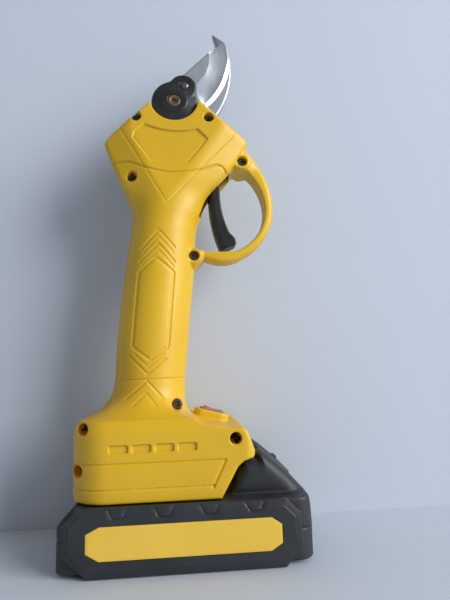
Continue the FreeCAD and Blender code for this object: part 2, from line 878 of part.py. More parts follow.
def gear_outline(teeth, root_radius, tip_radius, turn=0.0):
    """A plain toothed outline: flat tips and roots joined by straight flanks."""
    points = []
    for tooth in range(teeth):
        middle = 2 * math.pi * tooth / teeth + turn
        corners = ((root_radius, -0.36), (tip_radius, -0.16), (tip_radius, 0.16), (root_radius, 0.36))
        for radius, share in corners:
            angle = middle + share * 2 * math.pi / teeth
            points.append((radius * math.cos(angle), radius * math.sin(angle)))
    return points


def planet_places():
    """Where the three planets stand round the drive line."""
    centre = dim("planet_module") * (dim("sun_teeth") + dim("planet_teeth")) / 2
    angles = [math.radians(90 + 120 * index) for index in range(3)]
    return [(centre * math.cos(a), centre * math.sin(a)) for a in angles]


def planetary_gearbox():
    """One stage between motor and pinion, with tips cut short so that the teeth always clear."""
    module = dim("planet_module")
    sun, planet, ring = (module * dim(name) / 2 for name in ("sun_teeth", "planet_teeth", "ring_teeth"))
    top, bottom = -dim("gearbox_top"), -dim("gearbox_bottom")
    planet_top = top - 6.6
    face = dim("planet_face")

    barrel = rod_z(0, 0, bottom, top - bottom, "dims.gearbox_radius", DRIVE)
    room = rod_z(0, 0, bottom - 1, top - bottom - 0.8, ring + 0.55, DRIVE)
    mouth = rod_z(0, 0, bottom, top - bottom + 1, 6.0, DRIVE)
    inner_teeth = gear_outline(int(dim("ring_teeth")), ring + 0.02, ring + 0.5)
    ring_cut = plan_plate(inner_teeth, planet_top - face - 0.5, face + 1.0, frame=DRIVE)
    band = rod_z(0, 0, planet_top - face - 0.4, face + 0.8, ring + 0.6, DRIVE)
    node("gearbox_housing", fuse(cut(barrel, room, mouth), cut(band, ring_cut)))

    disc = rod_z(0, 0, top - 6.2, 3.2, 9.2, DRIVE)
    hole = rod_z(0, 0, top - 7, 6, "dims.shaft_radius", DRIVE)
    pins = [rod_z(x, y, planet_top - face, face + 1.0, 1.2, DRIVE) for x, y in planet_places()]
    node("planet_carrier", fuse(cut(disc, hole), *pins))

    for index, (x, y) in enumerate(planet_places(), start=1):
        teeth = gear_outline(int(dim("planet_teeth")), planet - 0.5, planet - 0.06)
        outline = [(x + u, y + v) for u, v in teeth]
        blank = plan_plate(outline, planet_top - face, face, holes=[(x, y, 1.24)], frame=DRIVE)
        node(f"planet_gear_{index}", blank)
    sun_outline = gear_outline(int(dim("sun_teeth")), sun - 0.5, sun - 0.02)
    sun_bottom = planet_top - face - 0.5
    node("sun_gear", plan_plate(sun_outline, sun_bottom, face + 0.8, holes=[(0, 0, 1.5)], frame=DRIVE))


def motor():
    """The motor: a can with stator and rotor, and a plastic end plate with the terminals."""
    top, bottom = -dim("gearbox_bottom"), -dim("motor_bottom")
    radius, wall = dim("gearbox_radius"), dim("motor_wall")
    can = cut(
        rod_z(0, 0, bottom, top - bottom - 0.02, radius, DRIVE),
        rod_z(0, 0, bottom - 1, top - bottom - wall + 1, radius - wall, DRIVE),
        rod_z(0, 0, bottom, 60, dim("motor_shaft_radius") + 0.06, DRIVE),
    )
    node("motor_can", can)
    stator = rod_z(0, 0, bottom + 5, 34.0, radius - wall - 0.02, DRIVE)
    node("motor_stator", cut(stator, rod_z(0, 0, bottom, 50.0, dim("rotor_radius") + 0.5, DRIVE)))
    core = rod_z(0, 0, bottom + 6, 32.0, "dims.rotor_radius", DRIVE)
    shaft_top = -dim("gearbox_top") - 11.5
    shaft = rod_z(0, 0, bottom - 1, shaft_top - bottom, "dims.motor_shaft_radius - 0.02", DRIVE)
    node("motor_rotor", fuse(core, shaft))
    end = rod_z(0, 0, bottom - 2.0, 4.0, radius - wall - 0.05, DRIVE)
    tabs = [block((x - 2.4, -0.4, bottom - 5), (x + 2.4, 0.4, bottom - 1.5), DRIVE) for x in (-7.5, 7.5)]
    shaft_hole = rod_z(0, 0, bottom - 3, 6, dim("motor_shaft_radius") + 0.06, DRIVE)
    node("motor_end_plate", cut(fuse(end, *tabs), shaft_hole))


# ---------------------------------------------------------------- trigger


def trigger_parts():
    """The trigger on its pin, its torsion spring, and the magnet and sensor that read it."""
    half = dim("trigger_half")
    x, z = dim("trigger_pin_x"), dim("trigger_pin_z")
    blade = [
        (14.6, 203.6, 2.5),
        (21.2, 203.6, 2.5),
        (23.6, 192.0),
        ("via", 24.4, 176.0),
        (28.4, 164.0),
        (31.4, 160.6, 1.0),
        (31.6, 157.6, 1.0),
        (23.2, 154.6, 1.0),
        ("via", 18.6, 168.0),
        (16.8, 184.0),
        (14.6, 196.0, 2.0),
    ]
    lever = side_plate(blade, half, 2 * half)
    slot = rod_y(x, z, -2.6, 5.2, 4.4)
    slot_back = block((x - 8, -2.6, z - 4.4), (x, 2.6, z + 6))
    bore = rod_y(x, z, -10, 20, dim("trigger_pin_radius") + 0.05)
    seat = primitive("Cylinder", (15.2, 0, 190.0), TO_PLUS_X, Radius=2.05, Height=3.0)
    node("trigger", cut(lever, slot, slot_back, bore, seat))
    node("trigger_magnet", primitive("Cylinder", (15.3, 0, 190.0), TO_PLUS_X, Radius=2.0, Height=2.5))
    node("trigger_pin", rod_y(x, z, -10.8, 21.6, "dims.trigger_pin_radius"))
    coil = cut(rod_y(x, z, -2.3, 4.6, 2.9), rod_y(x, z, -3, 6, 1.9))
    leg = block((x - 7.4, -0.5, z + 1.9), (x, 0.5, z + 2.9))
    node("trigger_spring", fuse(coil, leg))
    node("trigger_sensor_board", block((9.4, -5.0, 184.0), (10.8, 5.0, 196.0)))


# ---------------------------------------------------------------- electronics in handle and foot

TERMINAL_Y = (-12.0, -4.0, 4.0, 12.0)


def lead(bends, radius):
    """An insulated lead: straight lengths joined by rounded bends."""
    lengths = []
    for start, end in zip(bends, bends[1:]):
        along = Vector(*end) - Vector(*start)
        turn = Rotation(Vector(0, 0, 1), along)
        lengths.append(primitive("Cylinder", start, turn, Radius=radius, Height=along.Length))
    balls = [primitive("Sphere", bend, Radius=radius) for bend in bends[1:-1]]
    return fuse(*lengths, *balls)


def electronics():
    """The control board with its parts, the power switch, the terminals and the leads."""
    floor = dim("channel_top") + 2.0
    board = block((-44.0, -25.0, floor + 3.0), (12.0, 25.0, floor + 4.6))
    node("control_board", board)
    top = floor + 4.6
    transistors = []
    for index in range(6):
        low = -40.0 + 8.0 * index
        transistors.append(block((low, 12.0, top), (low + 6.4, 21.0, top + 1.8)))
    node("power_transistors", group(*transistors))
    can = primitive("Cylinder", (-38.0, -10.0, top + 5.1), TO_PLUS_X, Radius=5.0, Height=16.0)
    node("main_capacitor", can)
    supports = [rod_z(x, y, floor, 3.0, 2.6) for x in (-40.0, 8.0) for y in (-20.0, 20.0)]
    node("board_supports", group(*supports))

    block_body = block((-43.6, -16.0, 31.0), (-36.5, 16.0, dim("channel_top") - 0.05))
    slots = [block((-44, y - 0.4, 33.0), (-36, y + 0.4, 38.0)) for y in TERMINAL_Y]
    node("terminal_block", cut(block_body, *slots))
    blades = [block((-43.9, y - 0.38, 33.05), (-24.0, y + 0.38, 37.95)) for y in TERMINAL_Y]
    node("terminal_blades", group(*blades))

    length, width = dim("rocker_length"), dim("rocker_width")
    bezel = block((-length / 2, -width / 2, 1.42), (length / 2, width / 2, 2.2), ROCKER)
    body = block((-5.8, -4.5, -9.0), (5.8, 4.5, 1.42), ROCKER)
    window = block((-5.2, -3.6, -4.6), (5.2, 3.6, 4.0), ROCKER)
    pivot_hole = rod_y(0, 0, -4.2, 8.4, 0.9, ROCKER)
    node("rocker_frame", cut(fuse(bezel, body), window, pivot_hole))
    paddle = side_plate(
        [
            (-4.7, 0.0), (-4.3, 3.3, 0.6), (0.0, 2.2, 3.0), (4.4, 2.5, 0.6),
            (4.7, -0.6), (1.0, -2.4), (-1.0, -2.4),
        ],
        3.3,
        6.6,
        frame=ROCKER,
    )
    pivot = rod_y(0, 0, -4.1, 8.2, 0.85, ROCKER)
    node("rocker_button", fuse(paddle, pivot))

    leads = []
    for y in (-3.0, 0.0, 3.0):
        bends = [(-12.0, 2 * y, 134.0), (-16.4, y, 112.0), (-18.2, y, 86.0), (-20.0, 2 * y, 55.0)]
        leads.append(lead(bends, 1.1))
    node("motor_leads", group(*leads))


# ---------------------------------------------------------------- battery


# x and y of the screws under the battery
CASE_SCREWS = ((-51.6, -24.0), (-51.6, 24.0), (53.0, -24.0), (53.0, 24.0))
PANEL = [
    (-53.4, 9.5),
    (-53.4, 22.6),
    (-47.4, 29.0),
    (46.6, 29.0),
    (53.0, 22.6),
    (53.4, 9.5),
    (45.5, 0.0),
    (-42.5, 0.0),
]
LABEL = [
    (-43.1, 10.6),
    (-43.1, 18.8),
    (-37.0, 21.7),
    (39.4, 21.7),
    (44.1, 18.6),
    (44.1, 10.4),
    (38.8, 7.2),
    (-37.2, 7.2),
]
TOWER = [
    (21.0, 28.0),
    (25.4, 38.0),
    (29.0, 43.6, 3.0),
    (35.4, 44.2),
    (36.0, 49.4, 2.0),
    (40.2, 46.6),
    (51.4, 36.8),
    (61.4, 25.2, 4.0),
    (62.4, 14.0),
    (62.0, 3.0, 1.5),
    (50.0, 3.0),
    (50.0, 28.0),
]


def core_outline(depth):
    """The side outline of the battery's core inside its outer surface by a depth."""
    rear, front, low, high = dim("core_rear"), dim("core_front"), dim("core_bottom"), dim("deck")
    outline = [(-rear, low), (-rear, 20.4), (-50.0, high), (front - 2, high), (front, 24.0), (front, low)]
    return inset(outline, depth) if depth else outline


def battery_cases():
    """The upper case with the rails and the latch tower, and the lower tray."""
    half, wall, split = dim("core_half"), dim("case_wall"), dim("case_split")
    core = side_plate(core_outline(0), half, 2 * half)
    plan = plan_plate([(-58, -half, 7.0), (-58, half, 7.0), (66, half, 9.0), (66, -half, 9.0)], 0.0, 60.0)
    tower = side_plate(TOWER, 26.0, 52.0)
    nose_plan = plan_plate([(15, -26, 0), (15, 26, 0), (64, 26, 12.0), (64, -26, 12.0)], 0.0, 60.0)
    rail = block((-34.0, -20.0, 28.0), (24.0, 20.0, 38.4))
    flanges = block((-34.0, -24.0, 33.6), (24.0, 24.0, 36.8))
    outer = fuse(common(core, plan), common(tower, nose_plan), rail, flanges)

    room = side_plate(core_outline(wall), half - wall, 2 * (half - wall))
    rail_room = block((-32.0, -18.0, 26.0), (20.0, 18.0, 36.6))
    button_half = dim("button_half") + 0.3
    button_outline = [(34.3, 60.0), (34.3, 38.0), (38.0, 28.6), (54.6, 28.6), (54.6, 60.0)]
    button_room = side_plate(button_outline, button_half, 2 * button_half)
    tower_room = side_plate([(25.0, 28.6), (30.4, 41.6), (40.0, 44.6), (56.4, 28.6)], 23.5, 47.0)
    slots = [block((-36.0, y - 0.8, 32.0), (-12.0, y + 0.8, 39.0)) for y in TERMINAL_Y]
    shell = cut(outer, room, rail_room, common(tower_room, nose_plan), button_room, *slots)
    node("battery_upper_case", common(shell, block((-70, -45, split), (80, 45, 70))))
    lower_posts = [rod_z(x, y, 2.0, split - 2.0, 3.0) for x, y in CASE_SCREWS]
    screw_bores = [rod_z(x, y, 0, split + 6, "dims.screw_radius + 0.1") for x, y in CASE_SCREWS]
    head_bores = [rod_z(x, y, 0, 4.4, 2.7) for x, y in CASE_SCREWS]
    sump = block((-52.0, -33.0, 0.0), (52.0, 33.0, 1.5))
    tray = common(shell, block((-70, -45, 0), (80, 45, split)))
    node("battery_lower_case", cut(fuse(tray, sump, *lower_posts), *screw_bores, *head_bores))
    screws = []
    for x, y in CASE_SCREWS:
        head = rod_z(x, y, 2.0, 2.2, 2.5)
        screws.append(fuse(head, rod_z(x, y, 4.0, 12.0, "dims.screw_radius")))
    node("battery_case_screws", group(*screws))


def battery_sides():
    """The raised octagonal side panels and the labels set into them."""
    thick = dim("pack_half") - dim("core_half") - 0.02
    for side, name in ((-1, "right"), (1, "left")):
        outer_face = dim("pack_half") if side > 0 else -dim("core_half") - 0.02
        panel = side_plate(PANEL, outer_face, thick)
        label_back = dim("pack_half") if side > 0 else -dim("pack_half") + 0.8
        pocket = side_plate(LABEL, label_back + (0.1 if side > 0 else 0), 0.9)
        notches = []
        for index in range(4):
            left = -34.5 + 20.4 * index
            notch = side_plate(
                [(left, 29.5), (left + 2.6, 25.0), (left + 7.2, 25.0), (left + 10.0, 29.5)],
                dim("pack_half") + 0.1 if side > 0 else -dim("pack_half") + 0.6,
                0.7,
            )
            notches.append(notch)
        node(f"battery_panel_{name}", cut(panel, pocket, *notches))
        label_outer = dim("pack_half") - 0.2 if side > 0 else -dim("pack_half") + 0.78
        node(f"battery_label_{name}", side_plate(inset(LABEL, 0.15), label_outer, 0.56))


def battery_insides():
    """Five cells across the pack, their holders and strips, the protection board and the contact clips."""
    length, pitch, height = dim("cell_length"), dim("cell_pitch"), dim("cell_height")
    places = [pitch * (index - 2) for index in range(5)]
    cells = [rod_y(x, height, -length / 2, "dims.cell_length", "dims.cell_diameter / 2") for x in places]
    node("battery_cells", group(*cells))
    holders = []
    for low in (-27.0, 17.0):
        plate = block((-48.6, low, 3.3), (48.6, low + 10.0, 23.6))
        bore = dim("cell_diameter") / 2 + 0.05
        holders.append(cut(plate, *[rod_y(x, height, -40, 80, bore) for x in places]))
    node("cell_holders", group(*holders))
    strips = []
    for index in range(4):
        side = 1 if index % 2 else -1
        y = side * (length / 2 + 0.2)
        low = (places[index] - 3, y - 0.12, height - 3)
        high = (places[index + 1] + 3, y + 0.12, height + 3)
        strips.append(block(low, high))
    node("cell_strips", group(*strips))
    node("protection_board", block((-30.0, -16.0, 24.6), (18.0, 16.0, 26.1)))
    clips = []
    for y in TERMINAL_Y:
        for offset in (-0.62, 0.42):
            clips.append(block((-31.0, y + offset, 26.15), (-14.0, y + offset + 0.2, 36.0)))
    node("battery_clips", group(*clips))


def release_parts():
    """The release button in the latch tower and the spring under it."""
    half = dim("button_half")
    outline = [
        (34.6, 48.2, 1.0),
        (36.4, 50.4, 2.0),
        (40.6, 47.4),
        (50.6, 38.6),
        (54.2, 34.8, 1.0),
        (54.2, 33.0),
        (51.6, 33.8),
        (48.8, 37.4),
        (38.6, 42.6),
        (34.6, 43.6),
    ]
    shell = side_plate(outline, half, 2 * half)
    seat = block((39.4, -4.6, 37.0), (48.6, 4.6, 42.0))
    guide = rod_z(44.0, 0, 34.4, 4.0, 2.4)
    node("release_button", fuse(shell, seat, guide))
    node("button_spring", coil_spring(Vector(44.0, 0, 29.1), 7.4, 1.7, 3.3, 0.35))


def coil_spring(foot, height, pitch, radius, wire):
    """A helical spring of round wire, standing on a point."""
    spine = doc.addObject("Part::Helix", "helix")
    spine.Pitch, spine.Height, spine.Radius = pitch, height, radius
    section = doc.addObject("Part::Circle", "wire")
    section.Radius = wire
    section.Placement = Placement(Vector(radius, 0, 0), Rotation(Vector(1, 0, 0), 90))
    spring = doc.addObject("Part::Sweep", "spring")
    spring.Sections = [section]
    spring.Spine = spine
    spring.Solid = True
    spring.Frenet = True
    spring.Placement = Placement(foot, LEVEL)
    return spring


# ---------------------------------------------------------------- build, check and write


def check_and_write():
    """Stops on any failed object or bad shape, then writes one STEP file per sub-part."""
    doc.recompute()
    for item in doc.Objects:
        if "Invalid" in item.State or "Error" in item.State:
            raise RuntimeError(f"{item.Name} ({item.Label}) failed: {item.State}")
    os.makedirs("parts", exist_ok=True)
    for item in NODES:
        shape = item.Shape
        if shape.isNull() or not shape.isValid() or not shape.Solids:
            raise RuntimeError(f"{item.Label} has no valid solid")
        shape.exportStep(os.path.join("parts", item.Label + ".step"))
    print(len(NODES), "sub-parts written")


housing_halves()
housing_screws()
blades()
pivot_parts()
drive_pinion()
blade_gear()
gear_case()
planetary_gearbox()
motor()
trigger_parts()
electronics()
battery_cases()
battery_sides()
battery_insides()
release_parts()
check_and_write()
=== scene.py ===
import json
import math
from concurrent.futures import ThreadPoolExecutor

import bmesh
import bpy
import numpy as np
from mathutils import Matrix, Vector
from mathutils.geometry import delaunay_2d_cdt


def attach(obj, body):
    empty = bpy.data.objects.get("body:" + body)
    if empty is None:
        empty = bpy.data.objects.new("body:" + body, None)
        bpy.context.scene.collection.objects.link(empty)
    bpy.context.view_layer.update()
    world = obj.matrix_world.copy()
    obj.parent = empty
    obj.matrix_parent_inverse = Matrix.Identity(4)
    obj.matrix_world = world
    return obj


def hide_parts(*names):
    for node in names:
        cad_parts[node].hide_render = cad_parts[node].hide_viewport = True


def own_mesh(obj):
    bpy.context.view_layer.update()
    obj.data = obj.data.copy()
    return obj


# Battery pruner: moulded housing, ground blades, drive, trigger and battery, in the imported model's frame.
# Shapes are worked out in millimetres as distance fields (negative inside) or as cut plates, and go into
# Blender in metres. Nothing here depends on the image, and nothing is random.

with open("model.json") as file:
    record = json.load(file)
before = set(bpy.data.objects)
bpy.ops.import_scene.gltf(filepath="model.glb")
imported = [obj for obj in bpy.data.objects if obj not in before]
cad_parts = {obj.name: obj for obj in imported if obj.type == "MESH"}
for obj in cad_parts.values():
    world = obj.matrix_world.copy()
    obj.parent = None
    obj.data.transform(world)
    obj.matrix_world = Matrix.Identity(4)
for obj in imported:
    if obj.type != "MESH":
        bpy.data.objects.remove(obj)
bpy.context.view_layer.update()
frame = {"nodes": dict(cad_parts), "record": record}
nodes = frame["nodes"]
MM = 0.001
WORKERS = ThreadPoolExecutor(4)


# ------------------------ distance fields, in millimetres


def smax(a, b, k):
    """Largest of two fields, with the edge between them rounded over about k."""
    h = np.clip(0.5 + 0.5 * (a - b) / k, 0, 1)
    return b + (a - b) * h + k * h * (1 - h)


def smin(a, b, k):
    """Smallest of two fields, with the corner between them filled over about k."""
    return -smax(-a, -b, k)


def step01(t):
    """Smooth step from 0 to 1."""
    t = np.clip(t, 0, 1)
    return t * t * (3 - 2 * t)


def rounded_outline(path, steps=4):
    """Corner list from (u, v) or (u, v, radius) corners, with the rounded ones worked out."""
    points = []
    for i, corner in enumerate(path):
        at = np.array(corner[:2], float)
        radius = corner[2] if len(corner) > 2 else 0
        if radius <= 0:
            points.append(at)
            continue
        before = np.array(path[i - 1][:2], float) - at
        after = np.array(path[(i + 1) % len(path)][:2], float) - at
        before /= np.linalg.norm(before)
        after /= np.linalg.norm(after)
        half = math.acos(np.clip(before @ after, -1, 1)) / 2
        trim = radius / math.tan(half)
        start, end = at + before * trim, at + after * trim
        middle = (before + after) / np.linalg.norm(before + after)
        centre = at + middle * (radius / math.sin(half))
        a0, a1 = start - centre, end - centre
        t0 = math.atan2(a0[1], a0[0])
        turn = (math.atan2(a1[1], a1[0]) - t0 + math.pi) % (2 * math.pi) - math.pi
        for s in range(steps + 1):
            angle = t0 + turn * s / steps
            points.append(centre + radius * np.array([math.cos(angle), math.sin(angle)]))
    return np.array(points)


def arc_through(a, m, b, steps):
    """Points of the arc from a through m, without its end b."""
    ax, ay = a
    bx, by = m
    cx, cy = b
    d = 2 * (ax * (by - cy) + bx * (cy - ay) + cx * (ay - by))
    ux = ((ax**2 + ay**2) * (by - cy) + (bx**2 + by**2) * (cy - ay) + (cx**2 + cy**2) * (ay - by)) / d
    uy = ((ax**2 + ay**2) * (cx - bx) + (bx**2 + by**2) * (ax - cx) + (cx**2 + cy**2) * (bx - ax)) / d
    t0 = math.atan2(ay - uy, ax - ux)
    tm = (math.atan2(by - uy, bx - ux) - t0) % (2 * math.pi)
    t1 = (math.atan2(cy - uy, cx - ux) - t0) % (2 * math.pi)
    if tm > t1:
        t1 -= 2 * math.pi
    r = math.hypot(ax - ux, ay - uy)
    angles = [t0 + t1 * s / steps for s in range(steps)]
    return [(ux + r * math.cos(t), uy + r * math.sin(t)) for t in angles]


def curve(path, steps=7):
    """Point list from corners, where ("via", u, v) bends the side between its neighbours."""
    out = []
    n = len(path)
    for i, item in enumerate(path):
        if item[0] == "via":
            continue
        nxt = path[(i + 1) % n]
        if nxt[0] == "via":
            out += arc_through(item[:2], nxt[1:], path[(i + 2) % n][:2], steps)
        else:
            out.append(item[:2])
    return np.array(out, float)


def line_distance(u, v, points, closed=False):
    """Distance to a polyline in a plane."""
    best = np.full(u.shape, 1e9)
    n = len(points)
    for i in range(n if closed else n - 1):
        a, b = points[i], points[(i + 1) % n]
        dx, dy = b[0] - a[0], b[1] - a[1]
        t = np.clip(((u - a[0]) * dx + (v - a[1]) * dy) / (dx * dx + dy * dy + 1e-12), 0, 1)
        best = np.minimum(best, (u - a[0] - t * dx) ** 2 + (v - a[1] - t * dy) ** 2)
    return np.sqrt(best)


def outline_field(u, v, points):
    """Signed distance to a closed outline in a plane, negative inside."""
    inside = np.zeros(u.shape, bool)
    n = len(points)
    for i in range(n):
        a, b = points[i], points[(i + 1) % n]
        if a[1] == b[1]:
            continue
        crosses = (a[1] > v) != (b[1] > v)
        inside ^= crosses & (u < (b[0] - a[0]) * (v - a[1]) / (b[1] - a[1]) + a[0])
    d = line_distance(u, v, points, True)
    return np.where(inside, -d, d)


def box_field(p, low, high):
    """Signed distance to a box, near enough for cutting."""
    centre = (np.array(low) + np.array(high)) / 2
    half = (np.array(high) - np.array(low)) / 2
    q = np.abs(p - centre) - half
    return np.linalg.norm(np.maximum(q, 0), axis=1) + np.minimum(q.max(1), 0)


def rod_y_field(p, x, z, radius, low=-1e3, high=1e3):
    """A cylinder along Y."""
    d = np.hypot(p[:, 0] - x, p[:, 2] - z) - radius
    return np.maximum(d, np.maximum(low - p[:, 1], p[:, 1] - high))


def rod_z_field(p, radius, low, high):
    """A cylinder along Z through the frame's origin."""
    d = np.hypot(p[:, 0], p[:, 1]) - radius
    return np.maximum(d, np.maximum(low - p[:, 2], p[:, 2] - high))


def groove(u, v, points, width, depth, closed=False):
    """How much a rounded groove along a line lowers a surface."""
    d = line_distance(u, v, points, closed) / width
    return depth * np.where(d < 1, (1 - np.clip(d, 0, 1) ** 2) ** 2, 0)


def circle(x, z, radius, steps):
    """Corners of a round hole."""
    angles = np.linspace(0, 2 * math.pi, steps + 1)[:-1]
    return [(x + radius * math.cos(a), z + radius * math.sin(a)) for a in angles]


def slab_field(p, outline, half, edge):
    """An XZ outline as wide as half to each side of the mid plane, its corners rounded over edge."""
    return smax(outline_field(p[:, 0], p[:, 2], outline), np.abs(p[:, 1]) - half, edge)


def capsule(a, b, half_a, half_b, radius):
    """Signed distance to a rectangle grown by a radius, in a plane."""
    return np.hypot(np.maximum(np.abs(a) - half_a, 0), np.maximum(np.abs(b) - half_b, 0)) - radius


def cut(d, edge, *fields):
    """A field with others cut out of it, the new edges rounded."""
    for field in fields:
        d = smax(d, -field, edge)
    return d


def into(place, p):
    """Points in a tilted frame, given as its origin and its tilt about Y in degrees."""
    origin, tilt = place
    c, s = math.cos(math.radians(tilt)), math.sin(math.radians(tilt))
    q = p - np.array(origin)
    return np.column_stack([q[:, 0] * c - q[:, 2] * s, q[:, 1], q[:, 0] * s + q[:, 2] * c])


# ------------------------ meshes from fields


CORNERS = [(i, j, k) for i in (0, 1) for j in (0, 1) for k in (0, 1)]  # of a grid cell


def surface_net(values, low, step):
    """Quads of the zero surface of a sampled field: one point in each cell that the surface crosses."""
    inside = values < 0
    cells = tuple(n - 1 for n in values.shape)
    count = np.zeros(cells, np.int8)
    for i, j, k in CORNERS:
        count += inside[i : i + cells[0], j : j + cells[1], k : k + cells[2]]
    active = (count > 0) & (count < 8)
    at = np.argwhere(active)
    index = -np.ones(cells, np.int64)
    index[active] = np.arange(len(at))
    total = np.zeros((len(at), 3))
    number = np.zeros(len(at))
    for a in CORNERS:
        for axis in range(3):
            if a[axis]:
                continue
            b = list(a)
            b[axis] = 1
            va = values[at[:, 0] + a[0], at[:, 1] + a[1], at[:, 2] + a[2]]
            vb = values[at[:, 0] + b[0], at[:, 1] + b[1], at[:, 2] + b[2]]
            cross = (va < 0) != (vb < 0)
            t = np.where(cross, va / np.where(cross, va - vb, 1), 0)
            place = np.array(a, float) + np.outer(t, np.array(b) - np.array(a))
            total[cross] += place[cross]
            number += cross
    points = np.array(low) + step * (at + total / number[:, None])
    quads = []
    for axis in range(3):
        o1, o2 = [a for a in range(3) if a != axis]
        lead = [slice(None)] * 3
        lead[axis] = slice(0, -1)
        tail = [slice(None)] * 3
        tail[axis] = slice(1, None)
        first, second = inside[tuple(lead)], inside[tuple(tail)]
        edge = np.argwhere(first != second)
        keep = (edge[:, o1] > 0) & (edge[:, o2] > 0)
        keep &= (edge[:, o1] < values.shape[o1] - 1) & (edge[:, o2] < values.shape[o2] - 1)
        edge = edge[keep]
        ring = []
        for s1, s2 in ((-1, -1), (0, -1), (0, 0), (-1, 0)):
            cell = edge.copy()
            cell[:, o1] += s1
            cell[:, o2] += s2
            ring.append(index[cell[:, 0], cell[:, 1], cell[:, 2]])
        ring = np.array(ring).T
        flip = first[edge[:, 0], edge[:, 1], edge[:, 2]]
        if axis == 1:
            flip = ~flip
        ring[~flip] = ring[~flip][:, ::-1]
        quads.append(ring)
    return points, np.concatenate(quads)


def blown_up(grid, ratio):
    """A grid with each value repeated along all three axes."""
    for axis in range(3):
        grid = np.repeat(grid, ratio, axis)
    return grid


def sample(field, low, high, step):
    """A field on a grid: coarse first, then finely only near the surface."""
    ratio = 4  # coarse steps to fine steps
    low = np.array(low, float)
    cells = np.ceil((np.array(high) - low) / (step * ratio)).astype(int)
    axes = [low[i] + step * ratio * np.arange(cells[i] + 1) for i in range(3)]
    grid = np.stack(np.meshgrid(*axes, indexing="ij"), -1).reshape(-1, 3)
    coarse = in_parts(field, grid).reshape(cells + 1)
    near = np.abs(coarse)
    lowest = near[:-1, :-1, :-1]
    for i, j, k in CORNERS:
        lowest = np.minimum(lowest, near[i : i + cells[0], j : j + cells[1], k : k + cells[2]])
    active = lowest < step * ratio * 1.5
    shape = cells * ratio + 1
    fine = np.pad(blown_up(coarse[:-1, :-1, :-1], ratio), 1, mode="edge")[1:, 1:, 1:]
    wanted = np.zeros(shape, bool)
    spread = blown_up(active, ratio)
    for shift in CORNERS:
        target = tuple(slice(s, shape[i] - 1 + s) for i, s in enumerate(shift))
        wanted[target] |= spread
    where = np.argwhere(wanted)
    fine[wanted] = in_parts(field, low + where * step)
    return fine, low


def in_parts(field, p, size=60000):
    """A field at many points, in parts that run side by side."""
    if len(p) <= size:
        return field(p)
    parts = [p[i : i + size] for i in range(0, len(p), size)]
    return np.concatenate(list(WORKERS.map(field, parts)))


def gradient(field, p, value, reach=0.04):
    """The field's slope at each point."""
    slopes = []
    for axis in range(3):
        moved = p.copy()
        moved[:, axis] += reach
        slopes.append((in_parts(field, moved) - value) / reach)
    return np.column_stack(slopes)


def settle(field, p, rounds=3, reach=0.4):
    """Moves points onto the zero surface, and gives the normals there."""
    for _ in range(rounds):
        value = in_parts(field, p)
        slope = gradient(field, p, value)
        size = np.maximum((slope**2).sum(1), 0.05)
        move = np.clip(value / size, -reach, reach)
        p = p - slope * move[:, None]
    length = np.maximum(np.linalg.norm(slope, axis=1), 1e-9)
    return p, slope / length[:, None]


def refine(points, triangles, marked_by):
    """Splits every marked edge in the middle, keeping the mesh closed."""
    pairs = np.sort(np.concatenate([triangles[:, ends] for ends in ([0, 1], [1, 2], [2, 0])]), axis=1)
    edges, back = np.unique(pairs, axis=0, return_inverse=True)
    back = back.reshape(3, -1).T
    marked = marked_by(edges)
    middle = np.full(len(edges), -1)
    middle[marked] = len(points) + np.arange(marked.sum())
    new_points = points[edges[marked]].mean(1)
    points = np.concatenate([points, new_points])
    m = middle[back]
    has = m >= 0
    count = has.sum(1)
    out = [triangles[count == 0]]
    for turn in range(3):
        t = np.roll(triangles, -turn, axis=1)
        e = np.roll(m, -turn, axis=1)
        h = np.roll(has, -turn, axis=1)
        one = (count == 1) & h[:, 0]
        a, b, c, ab = t[one, 0], t[one, 1], t[one, 2], e[one, 0]
        out += [np.column_stack([a, ab, c]), np.column_stack([ab, b, c])]
        two = (count == 2) & h[:, 0] & h[:, 1]
        a, b, c, ab, bc = t[two, 0], t[two, 1], t[two, 2], e[two, 0], e[two, 1]
        out += [np.column_stack([ab, b, bc]), np.column_stack([a, ab, bc]), np.column_stack([a, bc, c])]
    full = count == 3
    a, b, c = triangles[full].T
    ab, bc, ca = m[full].T
    for part in ((a, ab, ca), (ab, b, bc), (ca, bc, c), (ab, bc, ca)):
        out.append(np.column_stack(part))
    return points, np.concatenate(out)


def field_mesh(field, low, high, step, finest=0.35, bend=14.0, rounds=2, smooth=2):
    """Points and triangles of a field's surface, finer where the surface bends."""
    values, low = sample(field, low, high, step)
    points, quads = surface_net(values, low, step)
    points, normals = settle(field, points)
    for _ in range(smooth):
        total = np.zeros_like(points)
        number = np.zeros(len(points))
        for i in range(4):
            np.add.at(total, quads[:, i], points[quads[:, (i + 1) % 4]])
            np.add.at(number, quads[:, i], 1)
        drift = total / np.maximum(number, 1)[:, None] - points
        drift -= normals * (drift * normals).sum(1)[:, None]
        points = points + 0.5 * drift
        points, normals = settle(field, points, 1)
    d1 = np.linalg.norm(points[quads[:, 0]] - points[quads[:, 2]], axis=1)
    d2 = np.linalg.norm(points[quads[:, 1]] - points[quads[:, 3]], axis=1)
    a = quads[d1 <= d2]
    b = quads[d1 > d2]
    triangles = np.concatenate([a[:, [0, 1, 2]], a[:, [0, 2, 3]], b[:, [0, 1, 3]], b[:, [1, 2, 3]]])
    limit = math.cos(math.radians(bend))
    for _ in range(rounds):

        def bent(edges):
            length = np.linalg.norm(points[edges[:, 0]] - points[edges[:, 1]], axis=1)
            across = (normals[edges[:, 0]] * normals[edges[:, 1]]).sum(1)
            return (length > finest * 1.3) & (across < limit)

        points, triangles = refine(points, triangles, bent)
        points, normals = settle(field, points, 2)
    return points, triangles


